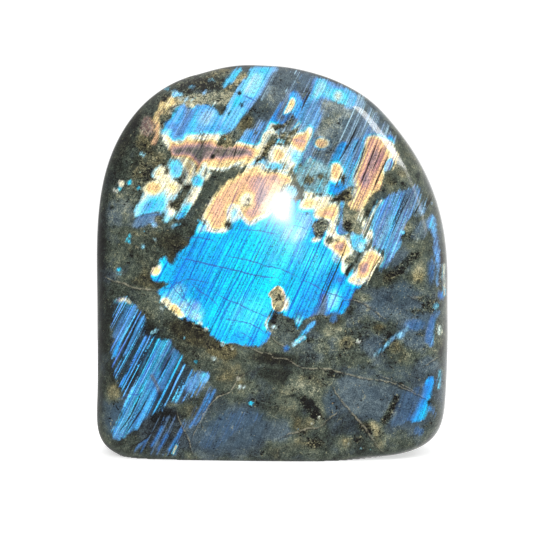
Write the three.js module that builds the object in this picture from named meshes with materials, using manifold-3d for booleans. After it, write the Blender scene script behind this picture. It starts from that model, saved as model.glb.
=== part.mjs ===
// A free-standing piece of labradorite, sawn flat underneath and polished all over.
//
// Millimetres, +Z up, the polished face towards -Y. The origin is at the middle of the base: the
// centre of the stone's bounding box in X and Y, on the surface that the stone stands on.
//
// The rim, seen from the front, is an arch over a rounded square: each quarter is a superellipse
// of its own exponent, with a few soft flats where the stone met the grinding wheel. From the rim
// the stone rounds over to a domed face in front and a flatter one behind. It is thicker at the
// foot than at the top, its edge wanders a little from front to back, and a saw cut makes the base.

import * as THREE from "three";
import { mergeVertices } from "three/addons/utils/BufferGeometryUtils.js";
import Module from "manifold-3d";

// ---- driving dimensions ----------------------------------------------------------------------

const HALF_WIDTH = 63.4; // the rim, from its middle to either side
const CREST = 139.4; // top of the rim's arch above the base, before the flats are added
const MIDDLE = 62; // height at which the rim is widest
const SAWN_OFF = 2.4; // how far the rough stone ran on below the saw cut

const FRONT_DEPTH = 27; // from the rim to the polished face, at the foot
const BACK_DEPTH = 24; // from the rim to the back, at the foot
const TAPER = 0.32; // share of both depths that is lost between foot and crest
const LEAN = 2; // how far the rim steps back between foot and crest
const WANDER = 1.6; // how far the rim strays forwards and back, twice on its way round
const WANDER_START = 0.6; // where that straying starts, in radians

// Exponents of the superellipse in each quarter of the rim: 2 is an ellipse, more is squarer.
const ARCH_RIGHT = 2.0;
const ARCH_LEFT = 2.74;
const FOOT_LEFT = 8.6;
const FOOT_RIGHT = 4.8;

// Exponents of the profile from the rim over to each face, and of both profiles at the very foot,
// which is blunter so that the saw cut leaves a base to stand on.
const FRONT_ROUNDING = 3.2;
const BACK_ROUNDING = 2.8;
const FOOT_ROUNDING = 6.0;

// Soft flats (inwards, negative) and swells (outwards) of the rim: where they are, anticlockwise
// from +X in degrees, their half width in degrees and their height in millimetres.
const FLATS = [
  { at: 30, spread: 16, height: 0.5 },
  { at: 61, spread: 8, height: 0.5 },
  { at: 80, spread: 7, height: -0.4 },
  { at: 98, spread: 6, height: 0.5 },
  { at: 109, spread: 4, height: -0.3 },
  { at: 146, spread: 22, height: 0.5 },
  { at: 221, spread: 6, height: 1.3 },
  { at: 298, spread: 8, height: -1.6 },
  { at: 318, spread: 8, height: 2.2 },
];

const SIDES = 88; // facets round the rim
const RINGS = 46; // facets from the front pole to the back pole
const RING_SPACING = 3.0; // above 2, the rings crowd towards the rim, where the stone is roundest

// ---- the rim -----------------------------------------------------------------------------------

// How far the rim is from (0, MIDDLE) in the direction of an angle, in radians from +X towards +Z.
function rimRadius(angle) {
  const across = Math.cos(angle);
  const up = Math.sin(angle);
  const isRight = across >= 0;
  const halfHeight = up >= 0 ? CREST - MIDDLE : MIDDLE + SAWN_OFF;
  const arch = isRight ? ARCH_RIGHT : ARCH_LEFT;
  const foot = isRight ? FOOT_RIGHT : FOOT_LEFT;
  const exponent = up >= 0 ? arch : foot;
  const sum = Math.abs(across / HALF_WIDTH) ** exponent + Math.abs(up / halfHeight) ** exponent;
  return sum ** (-1 / exponent) + flatsAt(angle);
}

// The sum of the soft flats at an angle, each a bell curve round its own place.
function flatsAt(angle) {
  const degrees = THREE.MathUtils.radToDeg(angle);
  let height = 0;
  for (const flat of FLATS) {
    const gap = THREE.MathUtils.euclideanModulo(degrees - flat.at + 180, 360) - 180;
    height += flat.height * Math.exp(-((gap / flat.spread) ** 2));
  }
  return height;
}

// ---- the stone ---------------------------------------------------------------------------------

// How far the surface stands off the rim's plane, as a share of the full depth, when it is a given
// share of the way out to the rim: the unit superellipse of that direction's exponent.
function standOff(outward, angle, isFront) {
  const rounding = isFront ? FRONT_ROUNDING : BACK_ROUNDING;
  const downward = Math.max(-Math.sin(angle), 0) ** 2;
  const exponent = THREE.MathUtils.lerp(rounding, FOOT_ROUNDING, downward);
  return Math.max(1 - outward ** exponent, 0) ** (1 / exponent);
}

// Moves a point of the unit sphere, whose poles are on the Y axis, to the stone's surface. Its
// distance from the axis gives the share of the way out to the rim, and standOff the depth there.
function toSurface(point) {
  const angle = Math.atan2(point.z, point.x);
  const isFront = point.y < 0;
  const outward = Math.min(Math.hypot(point.x, point.z), 1) ** (2 / RING_SPACING);
  const radius = outward * rimRadius(angle);
  const x = radius * Math.cos(angle);
  const z = MIDDLE + radius * Math.sin(angle);
  const height = z / CREST;
  const depth = (isFront ? -FRONT_DEPTH : BACK_DEPTH) * (1 - TAPER * height);
  const stray = WANDER * Math.sin(2 * angle + WANDER_START) * outward ** 2;
  const y = standOff(outward, angle, isFront) * depth + LEAN * height + stray;
  point.set(x, y, z);
}

function roughGeometry() {
  const sphere = new THREE.SphereGeometry(1, SIDES, RINGS);
  sphere.deleteAttribute("normal");
  sphere.deleteAttribute("uv");
  const geometry = mergeVertices(sphere);
  const position = geometry.getAttribute("position");
  const point = new THREE.Vector3();
  for (let i = 0; i < position.count; i += 1) {
    point.fromBufferAttribute(position, i);
    toSurface(point);
    position.setXYZ(i, point.x, point.y, point.z);
  }
  return geometry;
}

// ---- the saw cut -------------------------------------------------------------------------------

const wasm = await Module();
wasm.setup();

function toManifold(geometry) {
  const bare = geometry.clone();
  bare.deleteAttribute("normal");
  bare.deleteAttribute("uv");
  const merged = mergeVertices(bare);
  return new wasm.Manifold(
    new wasm.Mesh({
      numProp: 3,
      vertProperties: merged.getAttribute("position").array,
      triVerts: new Uint32Array(merged.index.array),
    }),
  );
}

function fromManifold(solid) {
  const mesh = solid.getMesh();
  const geometry = new THREE.BufferGeometry();
  geometry.setAttribute("position", new THREE.BufferAttribute(mesh.vertProperties, mesh.numProp));
  geometry.setIndex(new THREE.BufferAttribute(mesh.triVerts, 1));
  return geometry;
}

// Takes off everything below the base, with a block wider and deeper than the stone.
function sawnFlat(geometry) {
  const reach = 3 * HALF_WIDTH;
  const waste = new THREE.BoxGeometry(reach, reach, reach);
  waste.translate(0, 0, -reach / 2);
  return fromManifold(toManifold(geometry).subtract(toManifold(waste)));
}

// Puts the middle of the bounding box on the Z axis, and leaves the height alone.
function centred(geometry) {
  geometry.computeBoundingBox();
  const centre = geometry.boundingBox.getCenter(new THREE.Vector3());
  geometry.translate(-centre.x, -centre.y, 0);
  return geometry;
}

function makeStone() {
  const geometry = centred(sawnFlat(roughGeometry()));
  geometry.computeVertexNormals();
  const material = new THREE.MeshStandardMaterial({
    color: new THREE.Color(0.27, 0.31, 0.33),
    roughness: 0.15,
    metalness: 0,
  });
  const stone = new THREE.Mesh(geometry, material);
  stone.name = "stone";
  return stone;
}

const labradorite = new THREE.Group();
labradorite.add(makeStone());

export default labradorite;
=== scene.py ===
"""A free-standing piece of polished labradorite, standing on its sawn foot on a pale floor.

The stone is one closed skin, worked out from the same surface as the solid that it stands for. Its
pattern is laid out in millimetres, as marks and lines on the plane of the stone's rim, and
kept on the mesh as fields: how far each point is inside the flash, which colour the flash has there,
and so on. The shader turns those fields into colour and breaks them up with grain and streaks.
"""

import logging
import math
from collections.abc import Callable
from dataclasses import dataclass, field
from enum import Enum
from typing import Any

import bpy
import numpy as np
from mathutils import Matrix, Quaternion, Vector


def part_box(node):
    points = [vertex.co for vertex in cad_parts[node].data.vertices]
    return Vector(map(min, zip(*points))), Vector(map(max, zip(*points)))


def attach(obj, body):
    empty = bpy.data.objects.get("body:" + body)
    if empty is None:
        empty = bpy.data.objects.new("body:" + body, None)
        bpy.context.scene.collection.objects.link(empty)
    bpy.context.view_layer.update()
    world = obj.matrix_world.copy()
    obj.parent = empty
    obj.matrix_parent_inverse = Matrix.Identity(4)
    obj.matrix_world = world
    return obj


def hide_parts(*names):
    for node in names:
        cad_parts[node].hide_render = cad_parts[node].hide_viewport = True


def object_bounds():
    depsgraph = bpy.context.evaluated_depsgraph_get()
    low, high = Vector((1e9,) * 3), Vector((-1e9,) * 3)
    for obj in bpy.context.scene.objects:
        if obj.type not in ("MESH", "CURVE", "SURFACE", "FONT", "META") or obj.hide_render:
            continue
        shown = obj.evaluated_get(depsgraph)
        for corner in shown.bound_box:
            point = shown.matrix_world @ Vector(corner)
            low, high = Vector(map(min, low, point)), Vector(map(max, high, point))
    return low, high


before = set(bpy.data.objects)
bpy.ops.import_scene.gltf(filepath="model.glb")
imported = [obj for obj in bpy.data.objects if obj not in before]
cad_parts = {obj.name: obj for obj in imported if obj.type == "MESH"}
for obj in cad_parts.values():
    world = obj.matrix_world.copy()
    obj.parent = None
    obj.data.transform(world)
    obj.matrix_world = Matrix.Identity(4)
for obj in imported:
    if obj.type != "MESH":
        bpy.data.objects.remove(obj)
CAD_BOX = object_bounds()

Array = np.ndarray
Point = tuple[float, float]
Colour = tuple[float, float, float, float]
Stops = tuple[tuple[float, Colour], ...]

MM = 0.001  # one millimetre in metres; the stone is laid out in millimetres
FAR = 99.0  # a distance, in millimetres, that means nowhere near

log = logging.getLogger("labradorite")


def smooth(value: Array, low: float, high: float) -> Array:
    """Smooth step: 0 at low, 1 at high, and 3t^2 - 2t^3 between.

    Args:
        value: The numbers to map.
        low: Where the step starts.
        high: Where the step ends.

    Returns:
        The steps, from 0 to 1.
    """
    share = np.clip((value - low) / (high - low), 0.0, 1.0)
    return share * share * (3.0 - 2.0 * share)


def linear(red: int, green: int, blue: int) -> Colour:
    """A colour given as screen values from 0 to 255, in the linear light that shaders use."""
    shares = np.array([red, green, blue]) / 255.0
    low, high = shares / 12.92, ((shares + 0.055) / 1.055) ** 2.4
    return (*np.where(shares <= 0.04045, low, high).tolist(), 1.0)


def even_stops(*colours: tuple[int, int, int]) -> Stops:
    """Evenly spaced stops of a colour ramp, from 0 to 1, with colours given as screen values."""
    last = len(colours) - 1
    return tuple((count / last, linear(*colour)) for count, colour in enumerate(colours))


def placed(name: str, data: bpy.types.ID) -> bpy.types.Object:
    """Makes an object of a mesh, a light or a camera, and puts it in the scene."""
    made = bpy.data.objects.new(name, data)
    bpy.context.scene.collection.objects.link(made)
    return made


# ---- shapes on the plane of the rim ------------------------------------------------------------


def curved(points: list[Point], closed: bool, steps: int = 4) -> Array:
    """Runs a Catmull-Rom curve through points.

    Between two points the curve is a cubic, and its slope at each point is half of the way from the
    point before to the point after.

    Args:
        points: The points, in order.
        closed: Whether the curve comes back to its first point.
        steps: How many short lines each stretch becomes.

    Returns:
        The points of the short lines, with the first one repeated at the end of a closed curve.
    """
    known = np.array(points, float)
    if closed:
        known = np.vstack([known[-1], known, known[:2]])
    else:
        known = np.vstack([2 * known[0] - known[1], known, 2 * known[-1] - known[-2]])
    before, start, end, after = known[:-3], known[1:-2], known[2:-1], known[3:]
    t = (np.arange(steps) / steps)[None, :, None]
    before, start, end, after = (part[:, None, :] for part in (before, start, end, after))
    curve = 0.5 * (
        2 * start
        + (end - before) * t
        + (2 * before - 5 * start + 4 * end - after) * t**2
        + (3 * start - before - 3 * end + after) * t**3
    )
    return np.vstack([curve.reshape(-1, 2), known[-2]])


def offsets(path: Array, x: Array, z: Array) -> tuple[Array, Array, Array]:
    """Measures how points lie against a path of short lines.

    Args:
        path: The path's points, one row each.
        x, z: The points' places across and up.

    Returns:
        The distance to the path, the offset from it (positive on its left) and the share of the way
        along the path where it is nearest.
    """
    start, step = path[:-1], np.diff(path, axis=0)
    length = np.maximum(np.hypot(step[:, 0], step[:, 1]), 1e-6)
    from_x, from_z = x[:, None] - start[:, 0], z[:, None] - start[:, 1]
    along = (from_x * step[:, 0] + from_z * step[:, 1]) / length**2
    held = np.clip(along, 0.0, 1.0)
    gap = np.hypot(from_x - held * step[:, 0], from_z - held * step[:, 1])
    nearest = gap.argmin(axis=1)
    row = np.arange(len(x))
    side = (step[:, 0] * from_z - step[:, 1] * from_x) / length
    walked = np.concatenate([[0.0], np.cumsum(length)])
    share = (walked[nearest] + held[row, nearest] * length[nearest]) / walked[-1]
    return gap[row, nearest], side[row, nearest], share


class Outline:
    """A closed smooth outline through a few points."""

    def __init__(self, *points: Point) -> None:
        """Keeps the curve through the points."""
        self.path = curved(list(points), closed=True)

    def box(self) -> Array:
        """The lowest and the highest corner, as two rows."""
        return np.array([self.path.min(axis=0), self.path.max(axis=0)])

    def inside(self, x: Array, z: Array) -> Array:
        """How far each point is inside the outline, negative outside.

        A point is inside if a ray from it to the right crosses the outline an odd number of times.
        """
        gap = offsets(self.path, x, z)[0]
        (x0, z0), (x1, z1) = self.path[:-1].T, self.path[1:].T
        spans = (z0 > z[:, None]) != (z1 > z[:, None])
        rise = np.where(z1 == z0, 1.0, z1 - z0)
        crossing = x0 + (z[:, None] - z0) * (x1 - x0) / rise
        odd = (spans & (x[:, None] < crossing)).sum(axis=1) % 2 == 1
        return np.where(odd, gap, -gap)


class Oval:
    """An ellipse, turned anticlockwise by a number of degrees."""

    def __init__(self, x: float, z: float, wide: float, high: float, turn: float = 0.0) -> None:
        """Keeps the middle, both radii and the turn."""
        self.middle = (x, z)
        self.radii = (wide, high)
        self.turn = math.radians(turn)

    def box(self) -> Array:
        """The lowest and the highest corner, as two rows."""
        reach = max(self.radii)
        return np.array([np.subtract(self.middle, reach), np.add(self.middle, reach)])

    def inside(self, x: Array, z: Array) -> Array:
        """How far each point is inside: the missing share of the radius, times the smaller one."""
        gone_x, gone_z = x - self.middle[0], z - self.middle[1]
        cos, sin = math.cos(self.turn), math.sin(self.turn)
        across, up = gone_x * cos + gone_z * sin, gone_z * cos - gone_x * sin
        return (1.0 - np.hypot(across / self.radii[0], up / self.radii[1])) * min(self.radii)


class Streak:
    """A band of one width with round ends, along a smooth path."""

    def __init__(self, width: float, *points: Point) -> None:
        """Keeps the width and the curve through the points."""
        self.width = width
        self.path = curved(list(points), closed=False)

    def box(self) -> Array:
        """The lowest and the highest corner, as two rows."""
        half = self.width / 2
        return np.array([self.path.min(axis=0) - half, self.path.max(axis=0) + half])

    def inside(self, x: Array, z: Array) -> Array:
        """How far each point is inside: half the width, less the distance to the path."""
        return self.width / 2 - offsets(self.path, x, z)[0]


Shape = Outline | Oval | Streak


# ---- marks and lines ---------------------------------------------------------------------------


class Tone(Enum):
    """The colours of the flash, as screen values, in the order in which one passes into the next.

    A mark's tone counts along them from 0, and 7.5 is halfway from cyan to azure.
    """

    DUSK = (100, 102, 92)
    MAUVE = (182, 152, 146)
    SALMON = (232, 180, 146)
    ORANGE = (243, 200, 140)
    YELLOW = (254, 232, 158)
    CREAM = (255, 253, 216)
    ICE = (172, 236, 246)
    CYAN = (0, 226, 255)
    AZURE = (24, 168, 242)
    BLUE = (44, 134, 216)
    INDIGO = (64, 110, 156)
    SLATE = (82, 96, 100)


class Lay(Enum):
    """What a mark does to the flash under it."""

    FLASH = "adds flash"
    ROCK = "cuts the flash away"
    TINT = "leaves the edge of the flash where it is"


# What the fields hold where no mark lies: the depth inside the flash in millimetres, its tone and
# its strength, how far streaks fray its edge and lumps break it in millimetres, how much its tone
# wanders, how deeply dark gaps comb through it, how pale streaks wash it out, how strongly fine dark
# lines show in it and how much its warm tones lighten towards its edge (0 to 1), how light and how
# warm the rock is (-1 to 1), how much blue haze lies over it, how thickly it is pitted and how
# thickly it is sown with glitter (0 to 1).
BARE = {
    "flash": -FAR,
    "tone": 8.4,
    "strength": 1.0,
    "fray": 0.6,
    "ragged": 0.5,
    "mottle": 1.0,
    "comb": 0.0,
    "pale": 0.0,
    "lined": 0.5,
    "edged": 0.8,
    "light": 0.0,
    "warm": 0.0,
    "haze": 0.0,
    "pits": 0.0,
    "glitter": 0.0,
}

# What a new mark of flash sets back to BARE, whatever lies under it.
RENEWED = ("strength", "comb", "pale", "mottle", "lined", "edged")

# Distances in millimetres: how far round its shape a mark is laid, besides its soft edge and one and
# a half times its fray; how far outside all other flash a new mark of flash sets its fields too,
# from the first distance on and in full from the second; how far from its path a line is noted.
MARK_REACH = 2.0
SPILL = (0.8, 1.8)
LINE_REACH = 5.0


@dataclass(frozen=True)
class Mark:
    """One mark of the pattern: a shape, what it does to the flash, and the fields that it sets."""

    lay: Lay
    shape: Shape
    fields: dict[str, float]
    soft: float

    def paint(self, fields: dict[str, Array], x: Array, z: Array) -> None:
        """Lays the mark over the fields.

        Each field moves to the mark's own value by a smooth step over its edge, which a frayed mark
        carries outwards as far as the streaks may reach. Over bare rock a mark of flash sets its
        fields outside its edge too, so that its own colour reaches the rock.

        Args:
            fields: The fields so far, one number for each point, changed in place.
            x, z: The points' places across and up the rim's plane.
        """
        low, high = self.shape.box()
        fray = self.fields.get("fray", 0.0)
        reach = MARK_REACH + self.soft + 1.5 * fray
        near = (x > low[0] - reach) & (x < high[0] + reach)
        near &= (z > low[1] - reach) & (z < high[1] + reach)
        inside = self.shape.inside(x[near], z[near])
        cover = smooth(inside + fray, -self.soft, self.soft)
        if self.lay is Lay.FLASH:
            cover = np.maximum(cover, smooth(-fields["flash"][near], *SPILL))
            fields["flash"][near] = np.maximum(fields["flash"][near], inside)
        if self.lay is Lay.ROCK:
            fields["flash"][near] = np.minimum(fields["flash"][near], -inside)
        for name, value in self.fields.items():
            fields[name][near] += (value - fields[name][near]) * cover


def flash(shape: Shape, tone: float, soft: float = 0.7, **fields: float) -> Mark:
    """A mark that adds flash of one tone, with its look renewed."""
    renewed = {name: BARE[name] for name in RENEWED}
    return Mark(Lay.FLASH, shape, {**renewed, "tone": tone, **fields}, soft)


def tint(shape: Shape, tone: float, soft: float = 0.9, **fields: float) -> Mark:
    """A mark that gives another tone to the flash under it."""
    return Mark(Lay.TINT, shape, {"tone": tone, **fields}, soft)


def rock(shape: Shape, light: float, warm: float = 0.0, **fields: float) -> Mark:
    """A mark of bare rock that cuts the flash away."""
    return Mark(Lay.ROCK, shape, {"light": light, "warm": warm, **fields}, 0.6)


def cloud(shape: Shape, soft: float = 3.0, **fields: float) -> Mark:
    """A soft change in the rock, which leaves the flash as it is."""
    return Mark(Lay.TINT, shape, fields, soft)


class LineKind(Enum):
    """The kinds of thin line in the stone; each is kept on the mesh as one attribute."""

    SEAM = "seam"
    BRANCH = "branch"
    CRACK = "crack"
    CLEFT = "cleft"
    HAIR = "hair"


@dataclass(frozen=True)
class Line:
    """A thin line in the stone, which narrows to nothing at both ends."""

    kind: LineKind
    width: float
    points: tuple[Point, ...]

    def draw(self, kept: Array, x: Array, z: Array) -> None:
        """Notes the line at every point that it is the nearest one to.

        Args:
            kept: The offset, distance and width of the nearest line so far, changed in place.
            x, z: The points' places across and up the rim's plane.
        """
        path = curved(list(self.points), closed=False)
        low, high = path.min(axis=0) - LINE_REACH, path.max(axis=0) + LINE_REACH
        near = np.flatnonzero((x > low[0]) & (x < high[0]) & (z > low[1]) & (z < high[1]))
        gap, side, share = offsets(path, x[near], z[near])
        closer = gap < kept[near, 1]
        width = self.width * (1.0 - (2.0 * share - 1.0) ** 4)
        kept[near[closer]] = np.column_stack([side, gap, width])[closer]


@dataclass(frozen=True)
class Pattern:
    """The marks and the lines of one face of the stone."""

    marks: list[Mark]
    lines: list[Line] = field(default_factory=list)

    def paint(self, x: Array, z: Array) -> dict[str, Array]:
        """Lays every mark in order.

        Args:
            x, z: The points' places across and up the rim's plane.

        Returns:
            Each field's name, with one number for each point.
        """
        fields = {name: np.full(len(x), value) for name, value in BARE.items()}
        for mark in self.marks:
            mark.paint(fields, x, z)
        return fields

    def draw(self, x: Array, z: Array) -> dict[LineKind, Array]:
        """Finds the nearest line of each kind.

        Args:
            x, z: The points' places across and up the rim's plane.

        Returns:
            For each kind the offset, the distance and the width, as three columns.
        """
        kept = {kind: np.tile([FAR, FAR, 0.0], (len(x), 1)) for kind in LineKind}
        for line in self.lines:
            line.draw(kept[line.kind], x, z)
        return kept


# ---- the pattern of the polished face ----------------------------------------------------------

# Places and sizes are in millimetres on the rim's plane: across from the middle of the base, and up
# from it. Later marks lie over earlier ones.


def ovals(kind: Callable[..., Mark], *rows: tuple[float, ...], **fields: float) -> list[Mark]:
    """Several oval marks of one kind.

    Args:
        kind: What makes each mark: flash, tint or rock.
        rows: For each mark its place across and up, both radii, its turn in degrees, and its tone
            or, for rock, how light it is.
        fields: What all of them share.

    Returns:
        The marks.
    """
    return [kind(Oval(*row[:5]), row[5], **fields) for row in rows]


def grounds(soft: float, *rows: tuple[float, ...]) -> list[Mark]:
    """Several oval changes in the rock: place, radii, turn, light, warmth and haze of each."""
    return [cloud(Oval(*row[:5]), soft, light=row[5], warm=row[6], haze=row[7]) for row in rows]


def clouds(soft: float, *shapes: Shape, **fields: float) -> list[Mark]:
    """Several soft changes in the rock that share all their fields."""
    return [cloud(shape, soft, **fields) for shape in shapes]


def lines(kind: LineKind, *rows: tuple[float | Point, ...]) -> list[Line]:
    """Several lines of one kind: the width of each, then its points."""
    return [Line(kind, width, tuple(points)) for width, *points in rows]


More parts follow.
